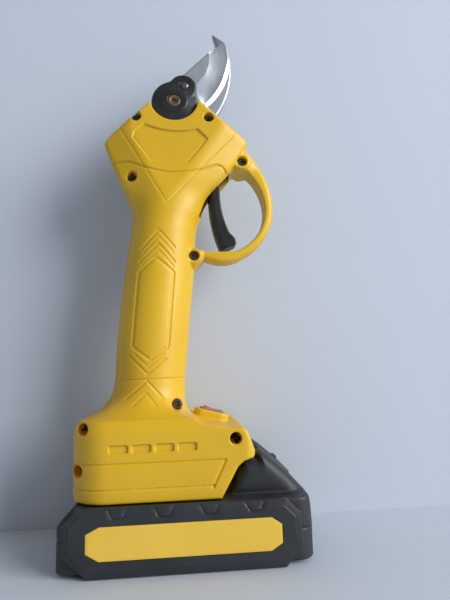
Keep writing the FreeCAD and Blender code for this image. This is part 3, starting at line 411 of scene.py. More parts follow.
def add_mesh(name, points, faces, scale=MM):
    """A mesh object from points and faces."""
    mesh = bpy.data.meshes.new(name)
    faces = faces.tolist() if isinstance(faces, np.ndarray) else faces
    mesh.from_pydata((np.asarray(points) * scale).tolist(), [], faces)
    mesh.validate()
    thing = bpy.data.objects.new(name, mesh)
    bpy.context.scene.collection.objects.link(thing)
    return thing


def shade(thing, angle=40.0):
    """Smooth shading with sharp edges above an angle."""
    thing.data.polygons.foreach_set("use_smooth", [True] * len(thing.data.polygons))
    thing.data.set_sharp_from_angle(angle=math.radians(angle))
    return thing


# ------------------------ materials


def add(tree, kind, sockets=None, **settings):
    """A shader node with its settings, and with its inputs set or linked."""
    made = tree.nodes.new("ShaderNode" + kind)
    for key, value in settings.items():
        setattr(made, key, value)
    for key, value in (sockets or {}).items():
        if isinstance(value, bpy.types.NodeSocket):
            tree.links.new(value, made.inputs[key])
        else:
            made.inputs[key].default_value = value
    return made


def noise(tree, scale, detail=3.0, stretch=(1, 1, 1), soft=0.5):
    """Noise in the piece's own coordinates, stretched along its axes."""
    place = add(tree, "TexCoord").outputs["Object"]
    spread = add(tree, "Mapping", {"Vector": place, "Scale": stretch}).outputs[0]
    inputs = {"Vector": spread, "Scale": scale, "Detail": detail, "Roughness": soft}
    return add(tree, "TexNoise", inputs).outputs["Fac"]


def ranged(tree, value, low, high, start=0.0, end=1.0):
    """A value's range from low to high, mapped to start to end."""
    inputs = {"Value": value, "From Min": low, "From Max": high, "To Min": start, "To Max": end}
    return add(tree, "MapRange", inputs).outputs[0]


def mixed(tree, share, first, second):
    """Two colours mixed by a share."""
    made = add(tree, "Mix", data_type="RGBA")
    for socket, value in zip((made.inputs[0], made.inputs[6], made.inputs[7]), (share, first, second)):
        if isinstance(value, bpy.types.NodeSocket):
            tree.links.new(value, socket)
        else:
            socket.default_value = value if isinstance(value, float) else (*value, 1.0)
    return made.outputs[2]


def maths(tree, operation, a, b):
    """Two values put together."""
    return add(tree, "Math", {0: a, 1: b}, operation=operation).outputs[0]


WEAR_FROM, WEAR_TO = 0.56, 0.64  # pointiness of an edge that starts to wear, and of one that is worn
CORNER_SHADE_FROM, CORNER_SHADE_TO = 0.47, 0.40  # pointiness of a concave corner where the painted shade starts, and of one where it is darkest
ROUGH_SPREAD = 0.08


def surface(name):
    """A new material, its node tree and its shader."""
    made = bpy.data.materials.new(name)
    made.use_nodes = True
    return made, made.node_tree, made.node_tree.nodes["Principled BSDF"]


def material(name, colour, other, rough, metal, patch, grain, bump=0.1, wear=None, dirt=0.0, coat=0.0,
             deep=0.05, stretch=(1, 1, 1)):
    """Two tones in soft patches, a fine grain in bump and roughness, worn edges, and painted shade that
    darkens concave corners.
    """
    made, tree, shader = surface(name)
    patches = ranged(tree, noise(tree, patch, 4.0, stretch), 0.36, 0.64)
    fine = noise(tree, grain, 2.0, stretch, 0.6)
    tone = mixed(tree, patches, colour, other)
    point = add(tree, "NewGeometry").outputs["Pointiness"]
    if wear:
        scuffed = ranged(tree, noise(tree, 260.0, 5.0, soft=0.7), 0.42, 0.62)
        edge = ranged(tree, point, WEAR_FROM, WEAR_TO)
        tone = mixed(tree, maths(tree, "MULTIPLY", scuffed, edge), tone, wear)
    if dirt:
        # painted shade: concave corners, found by pointiness, darken towards a quarter of the colour
        corner = ranged(tree, point, CORNER_SHADE_FROM, CORNER_SHADE_TO, 0.0, dirt)
        tone = mixed(tree, corner, tone, tuple(0.25 * c for c in colour))
    tree.links.new(tone, shader.inputs["Base Color"])
    mean = maths(tree, "MULTIPLY", maths(tree, "ADD", patches, fine), 0.5)
    spread = ranged(tree, mean, 0.2, 0.8, rough - ROUGH_SPREAD, rough + ROUGH_SPREAD)
    tree.links.new(spread, shader.inputs["Roughness"])
    bumps = add(tree, "Bump", {"Strength": bump, "Distance": deep * MM, "Height": fine})
    tree.links.new(bumps.outputs[0], shader.inputs["Normal"])
    for key, value in (("Metallic", metal), ("Coat Weight", coat), ("Coat Roughness", 0.25)):
        shader.inputs[key].default_value = value
    return made


STEEL = dict(bump=0.25, stretch=(1.6, 1, 0.7))
# slot or finish: name, two tones, roughness, metal, scale of patches and of grain, and the rest by name
MATERIALS = {
    "housing": ("yellow_abs", (0.75, 0.470, 0.017), (0.69, 0.420, 0.013), 0.42, 0.0, 22.0, 2600.0,
                dict(bump=0.22, wear=(0.86, 0.68, 0.20), dirt=0.25)),
    "battery_black": ("black_pa_textured", (0.017, 0.021, 0.026), (0.024, 0.029, 0.036), 0.52, 0.0, 60.0,
                      3600.0, dict(bump=0.5, wear=(0.12, 0.13, 0.14), dirt=0.3)),
    "black_plastic": ("black_nylon", (0.012, 0.013, 0.015), (0.020, 0.021, 0.024), 0.40, 0.0, 80.0, 2600.0,
                      dict(bump=0.25, wear=(0.09, 0.09, 0.095))),
    "black_metal": ("black_cap", (0.012, 0.014, 0.016), (0.020, 0.023, 0.026), 0.36, 0.0, 70.0, 2400.0,
                    dict(bump=0.15, wear=(0.17, 0.17, 0.17), coat=0.1)),
    "screw_black": ("oxide_screw", (0.17, 0.16, 0.16), (0.10, 0.095, 0.09), 0.30, 0.85, 500.0, 3000.0,
                    dict(bump=0.2, wear=(0.55, 0.54, 0.52))),
    "screw_steel": ("zinc_steel", (0.55, 0.55, 0.56), (0.42, 0.42, 0.43), 0.30, 1.0, 300.0, 2600.0,
                    dict(wear=(0.75, 0.75, 0.75))),
    "blade_steel": ("blade_steel", (0.50, 0.54, 0.59), (0.40, 0.44, 0.49), 0.60, 1.0, 90.0, 420.0, STEEL),
    "brass": ("brass", (0.36, 0.29, 0.20), (0.25, 0.18, 0.12), 0.38, 1.0, 240.0, 2200.0,
              dict(wear=(0.62, 0.52, 0.38))),
    "cast_alloy": ("cast_alloy", (0.36, 0.37, 0.38), (0.27, 0.28, 0.29), 0.55, 1.0, 160.0, 900.0,
                   dict(bump=0.6, deep=0.12, wear=(0.55, 0.55, 0.56))),
    "gear_steel": ("gear_steel", (0.38, 0.38, 0.39), (0.26, 0.25, 0.25), 0.36, 1.0, 220.0, 1800.0,
                   dict(wear=(0.66, 0.66, 0.66), dirt=0.5)),
    "motor_steel": ("motor_steel", (0.52, 0.53, 0.54), (0.44, 0.45, 0.46), 0.33, 1.0, 120.0, 1200.0,
                    dict(stretch=(1, 1, 0.1))),
    "copper": ("copper", (0.70, 0.33, 0.17), (0.52, 0.22, 0.11), 0.32, 1.0, 300.0, 2200.0, {}),
    "white_nylon": ("white_nylon", (0.66, 0.65, 0.60), (0.60, 0.58, 0.52), 0.48, 0.0, 60.0, 1800.0, {}),
    "lead_red": ("lead_insulation", (0.42, 0.03, 0.025), (0.36, 0.02, 0.02), 0.42, 0.0, 120.0, 1800.0, {}),
    "board_green": ("circuit_board", (0.02, 0.15, 0.05), (0.03, 0.22, 0.08), 0.34, 0.0, 700.0, 2400.0,
                    dict(bump=0.4, coat=0.3)),
    "chip_black": ("moulded_chip", (0.018, 0.018, 0.020), (0.028, 0.028, 0.030), 0.5, 0.0, 300.0, 3000.0, {}),
    "rocker_grey": ("grey_bezel", (0.30, 0.28, 0.26), (0.25, 0.24, 0.23), 0.45, 0.0, 90.0, 2600.0,
                    dict(bump=0.25, wear=(0.45, 0.43, 0.40))),
    "rocker_red": ("red_rocker", (0.62, 0.10, 0.11), (0.50, 0.07, 0.08), 0.40, 0.0, 120.0, 2600.0,
                   dict(bump=0.2, wear=(0.80, 0.40, 0.38))),
    "label_yellow": ("printed_label", (0.88, 0.59, 0.070), (0.84, 0.55, 0.060), 0.34, 0.0, 30.0, 1600.0,
                     dict(bump=0.08, coat=0.2)),
    "cell_wrap": ("cell_wrap", (0.06, 0.26, 0.36), (0.05, 0.21, 0.31), 0.30, 0.0, 60.0, 900.0,
                  dict(coat=0.3)),
    # darker steel: the real grind, painted darker to stand for the dark reflections in the hollow and the
    # shade on the hook's tip
    "ground": ("hollow_ground_steel_painted_dark", (0.41, 0.45, 0.50), (0.28, 0.32, 0.37), 0.54, 1.0, 90.0, 420.0, STEEL),
    # painted shade and glow: a darker copy of the yellow for the screw wells' walls, given a weak glow below
    "painted_well_shade_and_glow": ("yellow_abs_shaded", (0.66, 0.37, 0.030), (0.58, 0.31, 0.024), 0.5, 0.0, 200.0, 2600.0, {}),
    "honed": ("honed_bevel", (0.92, 0.92, 0.90), (0.84, 0.84, 0.82), 0.36, 1.0, 90.0, 420.0, STEEL),
}
PAINTS = {key: material(*row[:-1], **row[-1]) for key, row in MATERIALS.items()}
# painted light: the screw wells' walls get a darker copy of the yellow with a weak orange glow, so they are
# never black
WELL_INPUTS = PAINTS["painted_well_shade_and_glow"].node_tree.nodes["Principled BSDF"].inputs
WELL_INPUTS["Emission Color"].default_value = (0.40, 0.17, 0.014, 1.0)
WELL_INPUTS["Emission Strength"].default_value = 0.12
SLOT_OF = {part["node"]: part["material_slot"] for part in frame["record"]["subparts"]}


def finish_piece(thing, body, node, sharp=40.0, extra=None):
    """Shading, material, body and CAD node of a piece; extra gives some of its faces further finishes."""
    thing.data.materials.clear()
    thing.data.materials.append(PAINTS[SLOT_OF[node]])
    if extra:
        centres = np.empty(len(thing.data.polygons) * 3)
        thing.data.polygons.foreach_get("center", centres)
        centres = centres.reshape(-1, 3) / MM
        index = np.zeros(len(centres), np.int32)
        for number, (paint, chosen) in enumerate(extra, start=1):
            thing.data.materials.append(PAINTS[paint])
            index[chosen(centres)] = number
        thing.data.polygons.foreach_set("material_index", index)
    shade(thing, sharp)
    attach(thing, body)
    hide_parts(node)
    return thing


# ------------------------ housing shape

PIVOT = (-1.6, 239.0)
DRIVE = ((-1.6, 0.0, 239.0), 5.0)
ROCKER = ((15.1, 0.0, 65.2), 14.5)
HEAD_HALF, HEAD_SHOULDER = 18.0, 11.6
# pairs of corners (x, z): on the head's outline, and on its flat face
HEAD_RING = [
    ((-13.6, 241.0), (-13.0, 239.8)),
    ((-33.0, 224.3), (-31.6, 223.1)),
    ((-39.2, 218.8), (-30.6, 220.4)),
    ((-41.7, 214.2), (-28.4, 216.2)),
    ((-37.2, 203.2), (-21.0, 203.4)),
    ((-26.9, 178.0), (-7.4, 179.4)),
    ((15.0, 178.0), (-4.6, 179.4)),
    ((22.0, 188.5), (2.0, 186.4)),
    ((33.0, 202.0), (17.6, 203.4)),
    ((40.6, 209.2), (24.0, 210.2)),
    ((39.6, 216.6), (29.8, 216.6)),
    ((24.0, 231.4), (23.0, 230.4)),
    ((12.0, 241.4), (11.4, 240.2)),
]
HEAD_MIDDLE = np.array([-2.0, 0.0, 208.0])
HEAD_FLOOR = 178.0
HANDLE = np.array([
    (66.0, -18.8, 19.9, 19.4), (72.0, -18.4, 19.6, 19.0), (84.0, -17.3, 18.8, 18.4),
    (100.0, -16.0, 19.2, 18.6), (120.0, -14.2, 19.2, 18.8), (140.0, -11.8, 19.1, 18.8),
    (157.0, -10.1, 18.5, 18.4), (168.0, -8.5, 18.2, 18.0), (180.0, -5.8, 21.4, 17.6),
    (192.0, -4.2, 28.2, 17.0),
])
FOOT_SIDE = rounded_outline([
    (17.4, 29.0), (25.6, 43.0, 3.0), (28.6, 45.4, 2.0), (33.6, 46.6, 1.5), (34.2, 49.2, 1.5),
    (30.0, 60.8, 4.0), (22.0, 61.0, 3.0), (9.0, 64.4, 5.0), (5.0, 72.0, 4.0), (4.0, 90.0),
    (-53.5, 90.0), (-53.5, 32.0, 3.0), (-51.0, 29.0),
])
NECK_FOOT, FOOT_SHOULDER = 84.0, 65.5  # heights where the foot starts to swell and where it is full
FOOT_POWER = 3.6
GUARD_OUTER = curve([
    (20.0, 205.0), (36.0, 214.0), (40.2, 212.0), ("via", 50.8, 195.6), (53.8, 179.5),
    ("via", 49.6, 163.3), (35.5, 150.4), ("via", 27.6, 147.2), (19.4, 147.4), (13.2, 149.4),
    (8.0, 144.0), (-4.0, 146.0), (-4.0, 160.0),
])
GUARD_OPENING = curve([
    (6.0, 153.4), (31.0, 153.4), ("via", 43.2, 162.2), (48.8, 177.5), ("via", 46.4, 189.8),
    (40.2, 199.6), ("via", 35.6, 201.8), (29.6, 200.6), (6.0, 176.0),
])
# x, z and the y of each head's outer face
SCREWS = [
    (-22.7, 227.6, -15.0), (17.4, 227.4, -15.0), (-25.4, 194.0, -10.0), (36.2, 205.2, -7.6),
    (7.6, 150.2, -7.6), (-2.6, 71.4, -14.0), (-46.7, 62.0, -14.0), (-49.2, 43.0, -12.0),
    (24.8, 55.8, -16.0),
]

DEEP_WELLS = [SCREWS[i] for i in (2, 5, 6, 7, 8)]


def head_planes():
    """The head's facets as (normal, offset) for points folded to y > 0: side walls, then slanted facets."""
    planes = []
    n = len(HEAD_RING)
    for i in range(n):
        (a, fa), (b, fb) = HEAD_RING[i], HEAD_RING[(i + 1) % n]
        if a[1] == b[1] == HEAD_FLOOR:
            continue
        low_a, low_b = (np.array([q[0], HEAD_SHOULDER, q[1]]) for q in (a, b))
        face = np.array([(fa[0] + fb[0]) / 2, HEAD_HALF, (fa[1] + fb[1]) / 2])
        along = low_b - low_a
        for other in (low_a - np.array([0, 1.0, 0]), face):
            normal = np.cross(along, other - low_a)
            normal /= np.linalg.norm(normal)
            if normal @ (HEAD_MIDDLE - low_a) > 0:
                normal = -normal
            planes.append((normal, normal @ low_a))
    return planes


HEAD_PLANES = head_planes()


def head_field(p):
    q = np.column_stack([p[:, 0], np.abs(p[:, 1]), p[:, 2]])
    walls = q[:, 1] - 60.0
    facets = q[:, 1] - HEAD_HALF
    for i, (normal, offset) in enumerate(HEAD_PLANES):
        if i % 2 == 0:
            walls = smax(walls, q @ normal - offset, 1.6)
        else:
            facets = smax(facets, q @ normal - offset, 1.0)
    return smax(walls, facets, 2.4)


def handle_field(p):
    z = p[:, 2]
    middle, half_x, half_y = (smooth_table(z, HANDLE[:, 0], HANDLE[:, i]) for i in (1, 2, 3))
    r = np.sqrt(((p[:, 0] - middle) / half_x) ** 2 + (p[:, 1] / half_y) ** 2)
    return (r - 1) * np.sqrt(half_x * half_y)


def body_field(p):
    """The head, running smoothly into the handle under it and the handle into the foot."""
    z = p[:, 2]
    head = step01((z - 174.0) / 20.0)
    down = np.clip((NECK_FOOT - z) / (NECK_FOOT - FOOT_SHOULDER), 0, 1)
    foot = down**FOOT_POWER
    d = np.zeros(len(p))
    spread = np.zeros(len(p))
    shares = ((head, head_field, 0), (foot, foot_field, 1), (1 - head - foot, handle_field, -1))
    for share, field, sign in shares:
        part = share > 0
        if part.any():
            value = field(p[part])
            d[part] += share[part] * value
            spread[part] += sign * value
    slope = FOOT_POWER * down ** (FOOT_POWER - 1) / (NECK_FOOT - FOOT_SHOULDER)
    steep = np.where((down > 0) & (down < 1), slope * spread, 0)
    return d / np.sqrt(1 + steep**2)  # so that it stays close to a distance


def smooth_table(t, knots, values):
    """A smooth curve through a table (a cubic with slopes taken from the neighbours)."""
    slope = np.gradient(values, knots)
    i = np.clip(np.searchsorted(knots, t) - 1, 0, len(knots) - 2)
    width = knots[i + 1] - knots[i]
    s = np.clip((t - knots[i]) / width, 0, 1)
    h1, h2 = 2 * s**3 - 3 * s**2 + 1, s**3 - 2 * s**2 + s
    h3, h4 = -2 * s**3 + 3 * s**2, s**3 - s**2
    return h1 * values[i] + h2 * width * slope[i] + h3 * values[i + 1] + h4 * width * slope[i + 1]


def plan_field(x, y, rear, front, half, rear_radius, front_radius):
    """A rectangle seen from above with its rear and front corners rounded."""
    middle = (front - rear) / 2
    radius = np.where(x < middle, rear_radius, front_radius)
    qx = np.where(x < middle, -rear - x, x - front) + radius
    qy = np.abs(y) - half + radius
    outside = np.hypot(np.maximum(qx, 0), np.maximum(qy, 0))
    return outside + np.minimum(np.maximum(qx, qy), 0) - radius


def foot_field(p):
    side = outline_field(p[:, 0], p[:, 2], FOOT_SIDE)
    plan = plan_field(p[:, 0], p[:, 1], 53.5, 36.0, 33.5, 19.0, 7.0)
    rounding = 2.4 * np.clip((p[:, 2] - 58.5) / 7.0, 0, 1) ** 2
    return smax(smax(side, plan, 1.6), 29.0 - p[:, 2], 0.8) + rounding


def guard_field(p):
    top = step01((p[:, 2] - 197.0) / 9.0) * step01((46.0 - p[:, 0]) / 9.0)
    base = (p[:, 2] < 157.0) * step01((13.4 - p[:, 0]) / 0.7)
    half = 6.2 + 2.8 * np.maximum(top, base)
    outer = slab_field(p, GUARD_OUTER, half, 3.6)
    return smax(outer, -outline_field(p[:, 0], p[:, 2], GUARD_OPENING), 1.3)


def boss_field(p):
    """The capsule-shaped seat of the power switch."""
    q = into(ROCKER, p)
    flat = capsule(q[:, 0], q[:, 1], 4.4, 2.4, 5.0)
    return smax(flat, np.maximum(q[:, 2] - 1.4, -7.0 - q[:, 2]), 1.3)


def only_in(field, p, low, high, reach=14.0):
    """A field worked out only near its own box; further off, the distance to the box stands for it."""
    away = box_field(p, low, high)
    near = away < reach
    away = np.maximum(away, reach)
    if near.any():
        away[near] = field(p[near])
    return away


def outer_parts(p):
    """The outside of the whole housing without its grooves, and the part of it that is hollow."""
    body = only_in(body_field, p, (-54, -34, 29), (42, 34, 242))
    guard = only_in(guard_field, p, (-4, -7, 144), (53, 7, 214), 6.0)
    whole = smin(body, guard, 1.6)
    for (x, z, _), radius in ((SCREWS[3], 4.5), (SCREWS[4], 4.0)):
        whole = smin(whole, smax(rod_y_field(p, x, z, radius), np.abs(p[:, 1]) - 9.6, 1.2), 2.0)
    return smin(whole, boss_field(p), 0.8), body


LABEL_RECESS = curve([
    (-18.1, 222.9), ("via", -4.0, 219.0), (11.0, 220.1), (16.5, 214.3), (5.4, 200.3), (-15.0, 201.9),
    (-24.6, 215.4), (-23.6, 218.6),
])
NECK_LINE = curve([
    (-36.0, 202.6), (-27.4, 202.3), (-22.6, 200.0), ("via", -1.6, 194.8), (19.4, 200.0),
    ("via", 23.6, 200.2), (26.6, 197.2), (31.0, 192.0),
])[:-1]
CREASE = [(-32.6, 222.6), (-6.3, 177.5), (31.2, 218.0)]
HEX_PANEL = rounded_outline([
    (-21.6, 139.9, 2.0), (-25.1, 100.8, 2.0), (-15.9, 93.9, 0.8), (-6.9, 100.3, 2.0),
    (-3.4, 139.6, 2.0), (-12.4, 147.2, 0.8),
], 3)
CHEVRONS = [
    [(-20.4, 152.2), (-10.8, 162.2), (-2.6, 153.0)],
    [(-19.4, 149.9), (-10.9, 158.6), (-3.4, 150.2)],
    [(-21.2, 145.4), (-11.0, 154.6), (-2.8, 145.2)],
    [(-20.2, 143.1), (-11.1, 151.2), (-3.4, 142.4)],
    [(-25.9, 95.4), (-17.4, 86.9), (-8.0, 94.4)],
    [(-24.4, 97.8), (-17.0, 90.4), (-8.9, 96.8)],
]
BASE_CHEVRONS = [
    [(-28.6, 74.6), (-17.6, 83.4), (-9.6, 74.6)],
    [(-24.6, 71.6), (-18.0, 77.4), (-13.0, 71.4)],
]
FOOT_FRAME = [(-60.0, 46.4), (19.6, 46.4), (13.6, 34.6)]


def relief(p):
    """How far moulded lines and recesses lower the housing's outside."""
    x, z = p[:, 0], p[:, 2]
    total = np.zeros(len(p))
    head = (z > 176) & (np.abs(p[:, 1]) > 7)
    if head.any():
        u, v = x[head], z[head]
        recess = outline_field(u, v, LABEL_RECESS)
        deep = 0.35 + 0.55 * np.clip((v - 201) / 18, 0, 1)
        part = deep * step01(0.5 - recess / 0.7)
        part += groove(u, v, LABEL_RECESS, 0.7, 0.22, True)
        part += groove(u, v, CREASE, 0.8, 0.22)
        part += groove(u, v, NECK_LINE, 0.8, 0.7)
        total[head] += part
    grip = (z > 66) & (z < 172) & (np.abs(p[:, 1]) > 5)
    if grip.any():
        u, v = x[grip], z[grip]
        part = groove(u, v, HEX_PANEL, 1.25, 0.5, True)
        for i, line in enumerate(CHEVRONS + BASE_CHEVRONS):
            part += groove(u, v, line, 0.8, 0.45 if i % 2 == 0 else 0.28)
        total[grip] += part
    ring = np.abs(z - 84.2)
    total += np.where((ring < 0.9) & (x < 6), 0.5 * (1 - np.clip(ring / 0.9, 0, 1) ** 2) ** 2, 0)
    low = (z < 60) & (x < 24)
    if low.any():
        u, v = x[low], z[low]
        part = groove(u, v, FOOT_FRAME, 0.9, 0.62)
        part += groove(u, v, [(-60.0, 35.2), (13.9, 35.2)], 0.75, 0.5)
        side = np.abs(p[low, 1]) > 30
        for i in range(4):
            left = -34.0 + 10.55 * i
            q = capsule(u - left - 4.45, v - 53.1, 3.4, 0.75, 1.0)
            part += np.where(side, 1.0 * step01(0.5 - q / 0.45), 0)
        total[low] += part
    return total


TRIGGER_SLOT = [(12.0, 206.0), (29.0, 204.0), (29.0, 181.0), (15.0, 171.4), (10.6, 174.8)]
TRIGGER_PIN = (17.5, 200.5)


def inner_cuts(p):
    """Everything that is cut out of the housing for what it holds."""
    px, pz = PIVOT
    q = into(DRIVE, p)
    cuts = [
        (rod_y_field(p, px, pz, 13.5), 0.9),
        (box_field(p, (px - 13.5, -40, pz), (px + 13.5, 40, pz + 20)), 0.9),
        (box_field(p, (-40, -9.2, pz - 9.2), (45, 5.4, pz + 20)), 0.5),
        (rod_y_field(p, px, pz, 19.4, -9.2, 15.8), 0.5),
        (rod_z_field(q, 14.15, -104.0, -18.0), 0.5),
        (box_field(q, (-24.0, 0.0, -16.0), (24.0, 14.2, 6.0)), 0.5),
        (box_field(p, (-40.0, -20.5, 20.0), (60.0, 20.5, 41.0)), 0.5),
        (box_field(p, (-40.0, -24.5, 33.0), (60.0, 24.5, 37.4)), 0.5),
        (box_field(p, (22.0, -27.0, 20.0), (60.0, 27.0, 45.0)), 0.5),
        (box_field(p, (-44.0, -16.5, 30.0), (-39.0, 16.5, 41.0)), 0.5),
        (box_field(into(ROCKER, p), (-5.9, -4.6, -12.0), (5.9, 4.6, 6.0)), 0.4),
    ]
    slot = outline_field(p[:, 0], p[:, 2], TRIGGER_SLOT)
    cuts.append((np.maximum(slot, np.abs(p[:, 1]) - 5.8), 0.8))
    return cuts


WALL = 2.6
FOOT_FLOOR = 43.0  # height above which the foot is hollow
POST, WELL, SHANK = 3.4, 2.8, 1.6  # radii round the screws
HEAD_DEPTH = 2.25  # from the top of a screw's head to its seat
HALF_GAP = 0.04  # from the mid plane to each half


def housing_field(p):
    """The moulded shell: outside with its relief, hollow, posts, wells and the cuts for the insides."""
    plain, core = outer_parts(p)
    skin = plain + relief(p)
    hollow = plain + WALL
    hollow = np.where(p[:, 2] < 60.0, smax(hollow, FOOT_FLOOR - p[:, 2], 0.6), hollow)
    hollow = smax(hollow, core + 2.4, 0.4)
    lid = np.minimum(p[:, 2] - (FOOT_SHOULDER - WALL), handle_field(p) + WALL)
    hollow = np.where(p[:, 2] < NECK_FOOT, smax(hollow, lid, 0.4), hollow)
    hollow = cut(hollow, 0.5, *(rod_y_field(p, x, z, POST) for x, z, _ in SCREWS))
    pin = np.maximum(rod_y_field(p, *TRIGGER_PIN, POST), 6.0 - np.abs(p[:, 1]))
    d = cut(skin, 0.4, cut(hollow, 0.4, pin))
    for field, edge in inner_cuts(p):
        d = cut(d, edge, field)
    for x, z, face in SCREWS:
        seat = face + HEAD_DEPTH
        d = cut(d, 0.7, rod_y_field(p, x, z, WELL, -60, seat))
        d = np.maximum(d, -rod_y_field(p, x, z, SHANK, seat - 1, 8.0))
    return np.maximum(d, -rod_y_field(p, *TRIGGER_PIN, 1.55, -11.0, 11.0))


def in_well(centres):
    """The faces of the screw wells' walls, which get painted shade and a painted glow in place of the light
    that would reach into them.
    """
    inside = np.zeros(len(centres), bool)
    for x, z, face in DEEP_WELLS:
        near = np.hypot(centres[:, 0] - x, centres[:, 2] - z) < 3.1
        inside |= near & (centres[:, 1] < face + 2.0) & (centres[:, 1] > -32.6)
    return inside


def housing(name, node, side):
    """One half of the housing, which stops just short of the mid plane."""

    def half(p):
        return smax(housing_field(p), HALF_GAP - side * p[:, 1], 0.12)

    near, far = (-36.5, 1.3) if side < 0 else (-1.3, 36.5)
    mesh = field_mesh(half, (-57, near, 27), (57, far, 242), 0.8)
    # the wells' walls get the painted shade and glow
    return finish_piece(add_mesh(name, *mesh), "housing", node, extra=[("painted_well_shade_and_glow", in_well)])


# ------------------------ battery shape

CORE = rounded_outline([
    (-57.5, 1.4, 1.2), (-57.5, 20.4, 1.5), (-50.0, 28.6, 1.5), (58.0, 28.6), (60.0, 24.0),
    (60.0, 1.4, 1.2),
])
TOWER = rounded_outline([
    (21.0, 28.0), (25.4, 38.0), (29.0, 43.6, 3.0), (35.4, 44.2), (36.0, 49.4, 2.0), (40.2, 46.6),
    (51.4, 36.8), (61.4, 25.2, 4.0), (62.4, 14.0), (62.0, 3.0, 1.5), (50.0, 3.0), (50.0, 24.0),
])
SPLIT = 15.0  # height where the upper case meets the lower one
CASE_GAP = 0.03  # from the split to each case
TERMINALS = (-12.0, -4.0, 4.0, 12.0)
TOWER_ROOM = [(25.0, 28.6), (30.4, 41.6), (40.0, 44.6), (56.4, 28.6)]
BUTTON_WELL = [(34.3, 60.0), (34.3, 38.0), (38.0, 28.6), (54.6, 28.6), (54.6, 60.0)]


def pack_outer(p):
    """The outside of the battery without its side panels."""
    x, y, z = p.T
    plan = plan_field(x, y, 57.5, 60.0, 35.2, 7.0, 9.0)
    core = smax(slab_field(p, CORE, 35.2, 1.6), plan, 1.2)
    nose = plan_field(x, y, -10.0, 63.6, 26.0, 0.1, 12.0)
    tower = smax(slab_field(p, TOWER, 26.0, 8.0), nose, 1.0)
    d = smin(core, tower, 1.6)
    seam = np.exp(-(((z - SPLIT) / 0.45) ** 2))
    return d + 0.35 * seam


def pack_field(p):
    """The battery case: a shell with rails, contact slots and room for the release button."""
    x, y, z = p.T
    outer = pack_outer(p)
    plan = plan_field(x, y, 57.5, 60.0, 35.2, 7.0, 9.0)
    room = smax(smax(outline_field(x, z, CORE), plan, 0.5) + 2.2, np.abs(y) - 33.0, 0.5)
    channel = box_field(p, (-32.0, -18.0, 25.0), (20.0, 18.0, 36.6))
    flange = box_field(p, (-34.0, -24.0, 33.6), (19.0, 24.0, 36.8))
    rail = cut(box_field(p, (-34.0, -20.0, 27.0), (24.0, 20.0, 38.4)), 0.3, channel)
    d = smin(cut(outer, 0.4, room), smin(rail, flange, 0.3), 0.3)
    d = cut(d, 0.3, channel)
    d = cut(d, 0.4, np.maximum(slab_field(p, TOWER_ROOM, 23.5, 0.5), outer + 2.0))
    d = cut(d, 0.7, np.maximum(outline_field(x, z, BUTTON_WELL), np.abs(y) - 9.3))
    slots = (box_field(p, (-36.0, at - 0.8, 32.0), (-12.0, at + 0.8, 39.5)) for at in TERMINALS)
    return cut(d, 0.2, *slots)


def pack_case(name, node, side):
    """The upper or the lower case, which stops just short of the split."""

    def part(p):
        return smax(pack_field(p), CASE_GAP - side * (p[:, 2] - SPLIT), 0.12)

    low = (-59.5, -37, SPLIT - 1.3) if side > 0 else (-59.5, -37, 0.2)
    high = (65, 37, 55) if side > 0 else (65, 37, SPLIT + 1.3)
    return finish_piece(add_mesh(name, *field_mesh(part, low, high, 0.85)), "battery", node)


# ------------------------ plates cut from an outline


def offset(points, distance):
    """A closed outline moved inwards."""
    points = np.asarray(points, float)
    nxt = np.roll(points, -1, 0)
    area = (points[:, 0] * nxt[:, 1] - nxt[:, 0] * points[:, 1]).sum()
    sign = 1 if area > 0 else -1
    along = nxt - points
    along /= np.linalg.norm(along, axis=1)[:, None]
    normal = np.column_stack([-along[:, 1], along[:, 0]]) * sign
    both = normal + np.roll(normal, 1, 0)
    both /= np.linalg.norm(both, axis=1)[:, None]
    return points + both * (distance / (both * normal).sum(1))[:, None]


def spaced(points, gap, closed):
    """A polyline with points no further apart than a gap."""
    out = []
    n = len(points)
    for i in range(n if closed else n - 1):
        a, b = np.array(points[i], float), np.array(points[(i + 1) % n], float)
        parts = max(1, int(np.ceil(np.linalg.norm(b - a) / gap)))
        out += [a + (b - a) * s / parts for s in range(parts)]
    if not closed:
        out.append(np.array(points[-1], float))
    return np.array(out)


